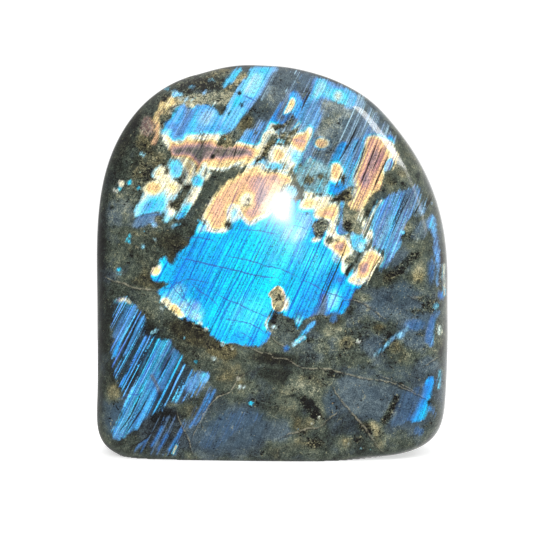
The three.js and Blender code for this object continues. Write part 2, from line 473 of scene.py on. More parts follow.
# The rock of the polished face.
GROUND = [
    # crisper grain over the left side and the top
    cloud(Outline((-64, 60), (-64, 95), (-56, 120), (-38, 136), (-18, 141), (-12, 132), (-22, 122),
        (-36, 116), (-36, 100), (-28, 82), (-34, 72), (-44, 64), (-40, 52), (-24, 42), (-14, 36), (-24, 32),
        (-46, 44), (-58, 56)), 3, pits=0.35),
    cloud(Oval(-27, 132, 11, 5, 15), 2, pits=0.9),
    cloud(Oval(-33, 57, 7, 7), 2.5, pits=0.9),
    cloud(Oval(-45, 103, 6, 9, -20), 2.5, light=0.45, warm=0.9, pits=0.6, glitter=0.9),
    cloud(Outline((-12, 104), (-14, 116), (-8, 120), (2, 120), (12, 118), (20, 120), (30, 108), (34, 96),
        (36, 80), (32, 64), (26, 64), (26, 80), (20, 92), (8, 98)), 3, light=0.5, pits=0.2),
    cloud(Oval(45, 103, 6, 9, -35), 2, light=0.7, warm=-0.3, pits=0),
    cloud(Oval(-55, 76, 6, 16), 4, light=0.2, warm=-0.5, pits=0.1),
    cloud(Oval(-15.5, 113, 4, 4.5, -25), 1.5, light=1, warm=0.3, pits=0.6, glitter=0.4),
    cloud(Oval(-22, 127.3, 11, 2.6, 8), 1.5, light=1.1, warm=0.5, pits=0.9, glitter=0.5),
    # painted shade: the rock darkened in a strip along the left edge, where the face turns away from the
    # light, over the rock's own dark body at the lower left
    cloud(Outline((-61, 15), (-63, 60), (-62, 85), (-57, 108), (-48, 122), (-50, 110), (-57, 95), (-60, 80),
        (-60, 40)), 2, light=-1.2, warm=-0.1),
    cloud(Outline((8, 22), (10, 38), (24, 44), (30, 54), (44, 62), (58, 64), (60, 30), (44, 34), (24, 30),
        (16, 12)), 3, pits=0.35),
    *grounds(6, (42, 20, 20, 22, 0, 0, -0.9, 0.2), (44, 52, 14, 8, 0, 0.05, -0.9, 0.2),
        (-20, 8, 12, 12, 0, -0.05, -0.9, 0.2), (-46, 30, 12, 22, 20, -1.1, -0.9, 0)),
    cloud(Outline((23, 25), (30, 26.5), (38, 25.5), (45, 23), (47, 19), (45, 15), (41, 11), (36, 10.5),
        (31.5, 11.8), (27, 17)), 1, light=0.12, warm=-1.4, haze=0.25),
    cloud(Outline((21, 11), (24, 14), (28.5, 14), (33, 8.5), (38, 1.5), (36, -1), (26, -1), (20, 2),
        (18, 8)), 1.2, light=-0.4, warm=-0.5),
    cloud(Outline((46, 22), (53, 20), (55, 14), (53, 8), (47, 8), (42, 10), (46, 16)), 1.5, light=-0.1,
        warm=-1.3, haze=0.7),
    *grounds(5, (-52, 89, 7, 9, 0, 0.45, -0.6, 0.05), (-50, 69, 8, 7, 0, 0, -0.1, 0),
        (-52, 105, 8, 6, 60, -0.25, 0.4, 0), (-20, 33, 14, 4, -15, -0.05, 0.2, 0),
        (30, 46, 12, 8, 0, 0.05, -0.35, 0), (32, 35, 14, 5, -5, 0.1, -0.3, 0),
        (50, 34, 7, 5, 30, 0.2, 0.1, 0), (12, 24, 12, 6, 0, 0.2, 0.1, 0), (26, 7, 9, 6, 0, -0.35, -0.6, 0.1),
        (47, 3, 9, 4, 0, 0.15, 0.2, 0), (-45, 5, 12, 7, 0, -0.6, -0.5, 0),
        (-59, 40, 3, 18, 0, -0.5, -0.2, 0), (50, 110, 6, 14, 38, 0.25, 0.1, 0),
        (51, 75, 6, 7, 0, 0.05, 0.1, 0), (-30, 76, 9, 4, 20, -0.6, 0.7, 0),
        (4, 128, 6, 9, -20, -0.15, -0.6, 0.1), (22, 119, 7, 7, 0, 0, -0.3, 0.1)),
    *grounds(2.5, (-15, 7, 14, 7, 10, 0, -1, 0.7), (-13, 11, 8, 3.5, 15, 0.1, -1, 0.85),
        (3, 8, 5, 5, 0, 0.1, -1, 0.35), (45, 54, 10, 6, 10, 0.05, -1, 0.4),
        (47, 58.5, 3, 3, 0, 0.1, -1, 0.9), (40, 52, 3, 3, 0, 0, -1, 0.6), (52, 46, 5, 3, 20, 0.1, -1, 1),
        (52, 40, 4, 2, 0, 0.1, -1, 0.5), (37, 38, 2.5, 2.5, 0, 0.1, -1, 0.6),
        (36, 22, 2.5, 2, -10, 0.1, -1.2, 0.6), (38, 24.2, 4, 1.6, -10, 0.2, -0.6, 0.1),
        (21.5, 18.5, 3, 5.5, -10, 0.05, -1, 0.6), (53.5, 7, 3, 2.5, 0, 0.1, -0.7, 0.5),
        (57.5, 31, 3, 2.3, 40, 0, -1, 0.4), (46, 69, 4, 5, -35, 0, -0.7, 0.15),
        (57, 66, 1.8, 5, 0, 0.1, -0.8, 0.6), (57.5, 57, 2, 1.5, 0, 0.3, -0.2, 0.2),
        (45, 29, 4, 2.5, 0, 0.1, -0.6, 0.3), (5, 134.5, 5.5, 4, 0, 0.15, -0.7, 0),
        (-3, 124, 4, 6, -25, 0.15, -0.9, 0.4), (11.5, 134, 4.5, 3, 0, 0.15, -1, 0.9),
        (18.5, 120, 3, 5, 0, 0.1, -0.9, 0.35), (30, 117, 6, 5, 0, 0.1, -1, 0.8),
        (38, 117.5, 4, 4, -45, 0.3, -0.9, 0.7), (40, 91, 3, 3, 0, 0, -0.9, 0.5),
        (-57.5, 13, 3.6, 7, 0, 0.2, -0.8, 1.1), (-28, 18.5, 5, 2.5, 0, -0.3, -0.1, 0),
        (-27, 131.5, 8, 3, 15, -0.35, -0.7, 0.05), (-14, 137.8, 4, 1.6, 10, 0.1, -1, 0.4),
        (-44.5, 84, 4, 2, 0, 0.1, 0.2, 0.3), (-14, 115, 3, 3, 0, 0.1, -0.8, 0.2)),
    *grounds(1.4, (-9.5, 119, 3, 2.6, 0, 0.3, 0.8, 0), (-18, 112, 3, 4, -25, 0.55, 0.5, 0),
        (-25, 127.3, 10, 2.2, 5, 1.1, 0.4, 0), (-20, 136.5, 5, 1.5, 25, 0.35, 0.5, 0),
        (-46, 103, 4, 2.5, 30, 0.35, 0.2, 0), (-45, 117.5, 3, 3.4, 0, 0.75, 0, 0),
        (-45, 112, 4.5, 3, 0, 0.1, 0.9, 0), (-39, 121, 2, 2, 0, 0.5, 0.5, 0),
        (-47, 98, 3, 1.8, 30, 0.5, 0, 0), (-50, 79.5, 7, 1.5, -5, 0.35, 0.4, 0),
        (-38, 77, 6, 3, 0, -0.75, 1, 0), (-44, 62, 6, 3, 0, -0.2, 0.7, 0), (-45, 52, 5, 4, 0, 0.1, 0.2, 0),
        (-30, 43, 8, 3.5, -25, -0.6, 0.7, 0), (-18, 36.8, 5, 2.6, -10, 0.2, 1.9, 0),
        (0, 33.5, 8, 2.2, -5, -0.9, 1, 0), (1.5, 27.5, 6, 3, -12, -0.65, 0.6, 0),
        (9, 24.5, 3.4, 3.4, 0, 0.8, 0.1, 0), (-9, 23, 4, 3.5, 0, 0.5, 0.4, 0),
        (-15, 28.5, 5, 2.5, 15, 0.25, 0.3, 0), (-8, 28.5, 1.5, 2, 0, -0.3, -0.6, 0),
        (12, 9.5, 5, 3, 15, 0.35, 0.9, 0), (17, 12, 2.2, 6, 10, 0.5, 0.3, 0),
        (22, 44, 4, 2.5, 0, 0.4, 0.5, 0), (27, 39.5, 4, 2.5, 10, 0.6, 0.7, 0),
        (17.5, 37.5, 2.5, 2, 0, 0.45, 0.5, 0), (53, 65, 2.4, 3.6, 0, 0.6, 0.6, 0),
        (38.5, 62, 3.5, 2, 0, 0.25, 0.4, 0), (33, 56, 2.6, 1.4, -15, 0.6, 0.6, 0),
        (38.5, 45, 2, 1.5, 0, -0.1, 1.3, 0), (23.5, 47, 2.2, 1.3, 0, -0.6, 0.7, 0),
        (43.5, 38, 3, 3, 0, 0, 0.5, 0), (37.5, 8, 2.2, 4, 40, 0.9, 0.3, 0), (39, 3.5, 2, 3, 20, 0.5, 0.4, 0),
        (43.5, 14.5, 2, 5, -30, 0.7, 0.5, 0), (26, 2.5, 3.5, 2.5, 0, 0.4, 0.4, 0),
        (34.5, 8, 2, 1, -40, 0.4, 0.2, 0), (-58, 21, 2.8, 3.5, 0, 0.5, 0.5, 0),
        (-31, 14.5, 4, 2.8, 0, 0, 0.8, 0), (-36.5, 16.7, 2.5, 1.3, 0, 0.35, 0.2, 0),
        (-39, 12.3, 4.8, 2.8, 0, -1.2, -0.5, 0), (28.5, 84, 4.5, 6, 0, 0.7, 0.4, 0),
        (44.5, 101.5, 4.5, 4, -30, 0.7, 0.1, 0), (47, 100.5, 1.8, 1.3, 30, 0.9, 0.7, 0),
        (50.5, 106, 1.5, 4, 35, 0.6, 0.1, 0), (48.5, 81, 2, 2.8, 0, 0.5, 0.5, 0),
        (43, 99, 2.5, 2.5, 0, 0.1, 0.4, 0)),
    # crumbling places, thickly pitted
    *clouds(1, Streak(3, (41.5, 63), (45, 65), (47.5, 67.5), (50, 70), (52, 71.3)), Oval(57.5, 53, 3.2, 2.6),
        Oval(52.5, 51, 2.5, 1.2), Oval(22.3, 28, 2.8, 1.4), Oval(53.5, 43.2, 1.2, 1.2),
        Oval(27.2, 82, 1.5, 1.8), Streak(1.4, (61, 72), (60.8, 60)), Oval(-24, 133, 6, 2),
        Oval(14, 40.3, 1.5, 0.8), Oval(17.8, 40.2, 1.2, 0.7), Oval(43.5, 97.6, 1.2, 0.6),
        Oval(47, 97, 0.8, 0.7), Oval(-38.5, 127.5, 1.5, 1.5), Oval(-28, 46.5, 6, 2.2, -25),
        Oval(50.5, 78, 1.8, 1.2), Streak(3, (11, 18.5), (13.5, 15.5), (16, 12.5)), Streak(2.4, (45.6, 19),
        (43.2, 14), (40.7, 11)), Oval(34, 8, 2.6, 1.8, -30), Oval(31, 4, 2, 1.2), Oval(31.2, 40, 0.9, 0.9),
        Oval(24, 119.5, 1.1, 1.5), Oval(15.5, 2.5, 3.5, 1.8), Oval(54, 55.5, 1.6, 1.2), pits=1.5,
        light=-0.45, warm=0.5),
]

# The bright patches over the upper right, and the orange patch on the shoulder.
UPPER_RIGHT = [
    flash(Outline((-1.5, 117.5), (0, 120.5), (4, 126.5), (4.3, 124), (4, 122), (7, 120.5), (2, 118)), 8.4,
        fray=0.8, comb=0.3),
    flash(Streak(2.2, (3, 121), (5.5, 127), (8.5, 133)), 10.2, 1.2, strength=0.75, comb=0.7, pale=0.4),
    flash(Outline((6.5, 128.5), (8.5, 129.5), (10, 127), (10.5, 124), (9, 121), (7, 120.5), (7.5, 124)), 8,
        fray=0.8, pale=0.2),
    flash(Outline((9, 115.5), (10, 120), (11.5, 124), (13.5, 128), (16, 128), (16.5, 124), (16.5, 120),
        (15, 117), (13.5, 117), (11.5, 115.5)), 8.1, 1, strength=0.9, fray=1, comb=0.35, pale=0.25),
    flash(Outline((14, 127.5), (14.8, 131), (15.8, 134.3), (18, 134.8), (26, 131.7), (29.5, 129.5),
        (30, 127), (28.5, 125), (25, 125.3), (19.5, 128.2), (16, 128)), 7.7, 1, fray=0.8, comb=0.1,
        pale=0.25, mottle=1.2, lined=0.4),
    *ovals(tint, (17.4, 131.6, 1.8, 2.6, -20, 6.5), (15.8, 129.3, 0.8, 1.3, -20, 6),
        (19.5, 129.5, 0.8, 1, 0, 6.8), (26, 126.6, 1.4, 1.2, 0, 7.3), pale=0.4),
    *ovals(tint, (23.6, 128.4, 2.6, 2.4, -10, 6.6), (23.4, 128.6, 1.2, 1.7, -10, 5.4), soft=1.2, pale=0.15,
        mottle=0.6, comb=0, lined=0.2),
    tint(Oval(23, 132.6, 2.5, 0.9, -20), 9.6),
    flash(Oval(31.8, 128.2, 1.2, 1.2), 10.8, pale=0.8, strength=0.8),
    flash(Oval(31.5, 126, 1.5, 1.6), 9.8, pale=0.5, strength=0.8),
    # cream lens
    flash(Outline((3.8, 122.2), (6.2, 127), (7.5, 128.2), (8.4, 126.6), (7.6, 124), (6, 122.4)), 4.8, 0.6),
    tint(Oval(6.9, 125.9, 0.8, 1), 3.4, 0.8),
    # azure patches and the cream stripe on the left of the zone
    flash(Outline((-12.5, 111.5), (-9, 116), (-7, 116.2), (-6, 114), (-4.5, 112.5), (-5.5, 110.8),
        (-10, 110.5)), 7.9, 1.2, fray=0.8, comb=0.2, pale=0.2),
    flash(Outline((-13.8, 110), (-12.8, 112.3), (-11, 112), (-9.5, 111), (-6.5, 110.8), (-9, 109.3),
        (-12, 109)), 5, 1.2),
    flash(Outline((-6.5, 113), (-4.5, 117), (-2.5, 119.5), (-1.5, 117), (-4.5, 112)), 8.8, strength=0.85,
        comb=0.6, fray=1, pale=0.2),
    flash(Outline((-10, 107.2), (-9.5, 109.8), (-6, 110.7), (-3.6, 113), (-1, 118.2), (0.3, 118.7),
        (2.3, 117.3), (2.3, 115.3), (-1, 113.8), (-3, 109.5), (-4.5, 107.2), (-7, 106.3)), 3.2, 1.5,
        mottle=1.4),
    *ovals(tint, (-2.3, 114, 1.5, 2, -20, 4.3), (-0.2, 116.8, 1.5, 1.6, 0, 5.2), (1.6, 115.8, 1, 1.2, 0, 6)),
    # greenish streaks between, the salmon patch and its cream edge
    flash(Outline((3.5, 113.5), (4.5, 117.5), (8, 119.5), (9.5, 118), (8, 115.5), (6, 114)), 10.9,
        strength=0.85, pale=0.7, comb=0.5, fray=1),
    flash(Streak(1.3, (7.4, 116.3), (9.6, 119)), 5.4, strength=0.85, ragged=0.25),
    flash(Oval(3, 112.5, 1.7, 1.1), 6.6),
    flash(Outline((6.2, 113.8), (8.5, 115.5), (11.5, 115.5), (13.2, 117.3), (14.4, 115.3), (12, 109.3),
        (9.5, 108.8), (7, 109.5), (5.8, 111.5)), 2.3, 1.5, mottle=1.5),
    tint(Streak(1.3, (13.6, 116.5), (13.4, 113.5), (12, 109.8)), 5, 0.6),
    tint(Streak(0.8, (7, 113), (11.5, 112.3)), 0.8, 0.6),
    # the cream patch and what lies round it
    flash(Outline((-1.2, 105.2), (-0.8, 109.3), (1, 111.2), (6.5, 111), (9, 109.5), (11, 107.5), (9, 103),
        (7, 101.5), (4.5, 101), (-0.5, 103)), 5.1, 1.7, mottle=1.3, pale=0.15),
    *ovals(tint, (1.6, 107.6, 2.3, 2.5, 0, 4), (2.5, 107.2, 0.9, 1.2, 0, 3), (8.7, 106.4, 1.7, 1.9, 0, 6.5),
        soft=1.2),
    flash(Oval(0.5, 103.2, 3.4, 1.2), 7.4, 1, pale=0.5),
    flash(Oval(-7.8, 105, 3.3, 1.5, 10), 7.6, 1, pale=0.4),
    flash(Oval(-11, 103.6, 1.6, 0.9, 30), 6.4, 1, pale=0.4),
    flash(Oval(-3.5, 105.3, 1.3, 1), 6.8, pale=0.4),
    flash(Oval(9.6, 101.4, 2, 2.2), 8, 1),
    flash(Oval(13, 104, 1.2, 2.6, -15), 4.4),
    tint(Oval(13.4, 105.8, 0.8, 1), 2.9),
    flash(Oval(13.2, 109, 1.2, 4.2, -20), 8.6, strength=0.7, pale=0.3, comb=0.3),
    flash(Oval(18, 111.8, 2.9, 2.1), 2.6, 1, strength=0.85, comb=0.3),
    tint(Oval(19.6, 106, 1.8, 2.6, -20), 10, 1),
    # azure bands, with black between
    flash(Outline((21, 104.5), (22.5, 108), (24.5, 111), (26, 111.5), (25.5, 108.5), (24, 105),
        (22.5, 103.5)), 8, fray=0.8, comb=0.3),
    flash(Outline((24.6, 104.2), (26.5, 109), (29.2, 112.5), (30.5, 112), (30, 108.5), (32, 109), (31, 104),
        (28, 97), (26, 94.8), (24.6, 95.5), (26, 99.5), (25.5, 102)), 7.9, 1, strength=0.9, pale=0.3,
        comb=0.5, fray=0.8),
    flash(Streak(1.8, (29.8, 106), (32, 112), (34.5, 117)), 9.4, strength=0.8, comb=0.5, pale=0.3,
        ragged=0.25),
    flash(Oval(42.6, 113.7, 1.3, 0.9, -40), 8.6, strength=0.9),
    # the orange oval and the cream and azure below it
    flash(Outline((20.8, 102), (22, 104.3), (24, 104.2), (25.3, 102), (24.9, 99.3), (23.5, 97.3),
        (21.5, 96.3), (19.8, 97)), 2.9, 1.2),
    *ovals(tint, (21.6, 97.6, 2.3, 1.5, 0, 5.4), (19.6, 100.5, 0.7, 3, -20, 6)),
    flash(Outline((18, 94.5), (18.5, 97), (20.5, 97.3), (22.5, 96.5), (24.5, 97.3), (26, 96.5), (25.3, 94.8),
        (23, 92.8), (19.5, 93)), 8, 0.8, fray=0.6),
    *ovals(tint, (23.6, 94.7, 1.8, 1.4, 30, 8.8), (19.3, 96, 1.3, 1.2, 0, 6.6)),
    flash(Outline((14.5, 90.5), (15, 94), (14.5, 97), (16, 98.2), (18.5, 97), (18.8, 94), (18, 91.5),
        (16, 90)), 6.6, 1, pale=0.4, comb=0.5, mottle=2, fray=1),
    flash(Oval(13.3, 93, 1.7, 3.4), 3.6, 1.2, pale=0.3, mottle=1.4),
    flash(Outline((8.5, 99.5), (11, 103), (15, 105), (19, 103), (19, 98), (16, 95.5), (11, 96)), 6.8, 1.5,
        strength=0.8, pale=0.45, comb=0.5, mottle=2.4, fray=1.2),
    flash(Oval(29.8, 94, 0.9, 1.7, -15), 8.6, strength=0.8),
    # the cream and orange patch right of the glare
    flash(Outline((10, 88), (10.5, 91), (13, 92.5), (18, 93), (21.5, 92.7), (24.2, 88.5), (24.2, 85.5),
        (23, 81), (23.2, 79), (21, 78.3), (19.5, 79.5), (19.8, 82), (19, 84.2), (15, 85.3), (14.7, 88)), 4.4,
        1.8, mottle=1.3),
    *ovals(tint, (19.8, 86.1, 3.2, 1.6, 10, 2.2), (22.4, 88.3, 1.4, 1.7, 0, 2.9),
        (12.5, 90.5, 1.8, 1.8, 0, 3.4), soft=1.2),
    flash(Outline((23.6, 79.5), (24.2, 84), (24.5, 90), (25.8, 90.5), (25.3, 85), (25.5, 81), (27.5, 79.5),
        (25.5, 78.7)), 9.3, strength=0.8, pale=0.2),
    # the orange patch on the shoulder
    flash(Outline((34.3, 112.5), (36, 113.6), (38.3, 113.3), (42.5, 111.3), (44.5, 109.3), (45.2, 107),
        (42.5, 102), (40.5, 101.5), (39.3, 95.3), (37.3, 94.3), (35.3, 93), (32.3, 88.3), (30, 87.4),
        (28, 88.5), (27.3, 90.3), (29, 91.6), (30.2, 93.6), (30.8, 100), (33.4, 107)), 2.5, 2, fray=1.1,
        mottle=1.5, lined=0.9, edged=0.6),
    *ovals(tint, (42.6, 109.3, 2.6, 2.2, -45, 4.3), (36.3, 105.5, 1.9, 4.4, -20, 0.8),
        (33.4, 98.8, 1.7, 2.6, 0, 0.5), (30.2, 89.6, 1.8, 1.4, 0, 3.2), (37.2, 97, 1.2, 3, -20, 2.4),
        soft=1.2),
    *ovals(tint, (41.8, 103.5, 1.2, 2.6, -20, 10.9), pale=0.7, strength=0.8),
]

# The upper left: its blue, the diagonal band, the dusky band and the cluster on the left.
UPPER_LEFT = [
    flash(Outline((-39.8, 114.5), (-38, 116), (-30, 116), (-22, 116), (-18.5, 115), (-20.5, 111),
        (-14, 110.3), (-8, 110), (-6, 107.5), (-8, 105.5), (-13, 104), (-22, 103.2), (-30, 104),
        (-35, 106.5), (-37.5, 110)), 4.9, 1.2, mottle=1.5, ragged=0.3),
    # the orange and cream bits at the far upper left
    flash(Outline((-40.8, 125), (-39.8, 126.8), (-37.8, 126.3), (-37, 128), (-35.8, 129), (-34.8, 127.5),
        (-35, 125.3), (-39.5, 124)), 3.1, 1.1, mottle=2.2, edged=0.35, strength=0.9),
    flash(Oval(-34.8, 129.3, 1.5, 1.2, 20), 7.6, pale=0.5),
    flash(Outline((-42.6, 120.5), (-41.5, 123), (-39, 124.2), (-36.5, 123.7), (-36.5, 122.8), (-39.5, 122.3),
        (-40.7, 120.5), (-40.8, 117), (-41.8, 117)), 3.2, 1, mottle=2, edged=0.2, strength=0.75),
    flash(Streak(1.9, (-41.3, 118), (-41.3, 114.8), (-42.5, 112)), 2.4, 0.8, mottle=1.3, ragged=0.3,
        edged=0.1, strength=0.75),
    flash(Oval(-44.8, 117.6, 2.2, 3.2), 1, 1.5, strength=0.35, edged=0, ragged=0.9),
    *ovals(flash, (-37.6, 131.1, 0.7, 0.7, 0, 7), (-29.2, 131.8, 0.9, 0.6, 0, 7.4),
        (-24.4, 129.8, 0.8, 0.7, 0, 8), (-21.5, 134.1, 0.9, 0.6, 0, 6.6), (-32.5, 129, 0.4, 0.7, 0, 6),
        (-31, 127.5, 1.2, 0.4, 0, 6.2), pale=0.4, strength=0.85),
    flash(Outline((-17.8, 132), (-16.5, 134.5), (-14, 137.5), (-11.5, 139), (-10.8, 137.5), (-14.5, 133.2),
        (-16.5, 131.8)), 7.6, 0.8, pale=0.15, ragged=0.3, lined=0.1),
    # the upper left blue
    flash(Outline((-40, 116), (-38.3, 119), (-36.5, 120.8), (-36, 123.5), (-33.5, 125.2), (-31, 125.3),
        (-30, 123.5), (-28, 125), (-24, 125.6), (-20.5, 124), (-18.5, 122), (-15.5, 122), (-14, 117),
        (-20, 114.3), (-28.5, 115), (-31, 113.6), (-33.7, 111.3), (-38.5, 114.5)), 7.9, 1.4, pale=0.17,
        comb=0.05, mottle=1.1, lined=0.45, ragged=0.3),
    tint(Outline((-31.2, 125), (-32.5, 120), (-35.3, 114), (-33.3, 113.5), (-30.5, 119), (-28, 125)), 9.4,
        1.2, pale=0.2, strength=0.9),
    *ovals(tint, (-33.5, 121.5, 1.8, 3, -20, 7.8), (-28, 118.5, 0.9, 4, -20, 7.3),
        (-35.5, 117, 2, 1.4, 20, 9), soft=1),
    tint(Oval(-23, 121, 4, 2.6), 7.7, 1.5, pale=0.45),
    *ovals(tint, (-38, 115.6, 1.8, 0.9, 20, 6), (-33.8, 112.6, 1.4, 1.4, 0, 6.6),
        (-30.5, 114.4, 1.4, 0.9, 0, 6), (-24, 114.6, 2.6, 0.9, 0, 5.6), (-19.8, 114.7, 1.3, 0.8, 20, 5.8),
        pale=0.4),
    # cream and orange under it
    flash(Outline((-39.8, 114), (-37.5, 114.3), (-35.5, 112.3), (-32.3, 111.5), (-31, 113.5), (-28.5, 114.5),
        (-24, 114.3), (-19.3, 114.3), (-21.5, 110), (-25, 110.3), (-29, 112), (-31, 111.3), (-33, 110),
        (-35.5, 110)), 3.9, 0.9, mottle=1.6),
    *ovals(tint, (-23.7, 113.3, 2, 1, 0, 5.2), (-33.5, 111.2, 1.3, 0.9, 0, 4.8),
        (-21.6, 112, 1.2, 1.2, 0, 3.2)),
    # the diagonal band
    flash(Outline((-6.8, 138.9), (-9, 136), (-14.5, 128.5), (-17.5, 121.5), (-16.5, 117.5), (-14.5, 116.3),
        (-12.5, 118.5), (-8, 124.5), (-3, 130), (-0.5, 135.5), (1.8, 138.8)), 7.7, 0.9, fray=0.7, pale=0.25,
        lined=0.25, ragged=0.3),
    tint(Outline((-10.5, 130), (-9.5, 133), (-7, 136), (-4, 136.5), (-3.3, 134), (-4.5, 131), (-7, 129)),
        6.7, 1.2, pale=0.6),
    *ovals(tint, (-3.2, 137.9, 2.5, 0.9, 0, 7.5), (-12, 127, 2.8, 1.6, 55, 7.3), pale=0.1),
    tint(Streak(1.6, (1.5, 138), (-4, 128.8), (-8.5, 125)), 8.8, 0.8, pale=0.4),
    flash(Streak(1.6, (1, 136), (-3.5, 128)), 10.4, 1, strength=0.45, pale=0.7, comb=0.8, ragged=0.25),
    # the dusky band and what hangs from it
    flash(Outline((-36, 109.3), (-32, 110.2), (-27, 111), (-21, 110.3), (-12, 109.8), (-8, 108.5),
        (-8.5, 106), (-13, 104.7), (-26, 104.3), (-31, 105.3), (-34.5, 106.5)), 0.15, 2.1, strength=0.9,
        fray=1.2, comb=0.05, mottle=1, lined=0.7, edged=0.15),
    flash(Outline((-25.5, 104.8), (-20, 105.2), (-13, 106), (-9, 106.8), (-10, 104.8), (-14.5, 103),
        (-19, 101.7), (-25, 103)), 2.9, 1.3, fray=0.8, mottle=1.4),
    *ovals(tint, (-18.5, 102.4, 3.5, 0.7, -5, 4.6), (-13, 104, 2, 0.7, 25, 4.8),
        (-24, 103.7, 1.2, 0.8, 0, 2.4)),
    flash(Outline((-33.5, 106.5), (-29.5, 106.5), (-27.5, 103.5), (-28, 99.5), (-29.3, 97.3), (-31.7, 96.8),
        (-32.5, 99.5), (-31.8, 102), (-33.3, 104)), 4, 1.2, mottle=1.8, comb=0.55, fray=0.6, strength=0.9),
    flash(Streak(1.4, (-27.3, 99), (-25.5, 107)), 0.3, strength=0.7, comb=0.3, ragged=0.25),
    # the diagonal strip of azure and cream
    flash(Outline((-33.7, 87), (-32, 90), (-28.8, 95.5), (-28.5, 98.5), (-25.5, 102.5), (-24.6, 104.5),
        (-23.9, 103), (-24.5, 100), (-25.8, 94), (-28.8, 88.8), (-31, 86.7)), 5.3, 1, pale=0.2, mottle=1.8,
        fray=0.5, lined=0.3),
    *ovals(tint, (-27, 98, 1.8, 2, 0, 7.4), (-31, 88.3, 2, 1.2, 50, 7.4), (-26.8, 94.4, 1.3, 1.2, 0, 4.5),
        soft=1.2),
    flash(Oval(-33, 85.6, 1.9, 1.2, 30), 8, 0.8, pale=0.2),
    flash(Streak(1.1, (-23.9, 98.7), (-22.3, 101.3)), 4.6, ragged=0.25),
    # the cluster on the left
    flash(Outline((-49.7, 85.5), (-49.3, 88.5), (-46.8, 93), (-46.5, 95), (-45.5, 97), (-43, 98.3),
        (-41, 98.3), (-43.5, 100.2), (-42, 102.5), (-40, 103.7), (-38, 103.2), (-36.5, 105.8),
        (-34.5, 105.9), (-33, 104.5), (-32.5, 102), (-33, 100), (-35.5, 99), (-33.5, 97), (-32.3, 96),
        (-34.8, 91.7), (-37, 90.7), (-36.8, 89), (-35.3, 87.8), (-35, 85.5), (-36.8, 84.6), (-38, 83),
        (-39.4, 83.8), (-39, 86.3), (-42, 87), (-48.5, 85)), 6.6, 1, pale=0.3, mottle=1.8, fray=0.2,
        ragged=0.4, lined=0.3, edged=0.4),
    *ovals(tint, (-39.5, 101, 3.6, 3, 20, 4.4), (-35, 103.3, 2, 2.8, 0, 7.5), (-43.3, 96, 3.2, 2.4, 10, 2.8),
        (-35.5, 96.2, 3.2, 2.8, 0, 4.3), (-42.5, 89.5, 4.6, 2.4, 20, 7.9), (-48.7, 88, 1.2, 2.4, -10, 5.6),
        (-36.3, 88.3, 1.8, 2.8, 0, 4.6), (-37.5, 93, 1.5, 1.8, 0, 5.4), (-46.5, 92, 1.5, 1.5, 0, 5.4),
        soft=1.8, pale=0.2, mottle=2),
    flash(Outline((-50.5, 82.5), (-48.5, 85), (-44, 86.3), (-40.5, 86.2), (-41, 84.3), (-47, 81.6),
        (-49.5, 81.2)), 10.2, 1.2, strength=0.8, pale=0.2),
    *ovals(flash, (-42.8, 82.6, 1.1, 0.8, -30, 7.2), (-34.6, 82.3, 1.3, 0.6, 30, 7.4), pale=0.5,
        strength=0.85),
]

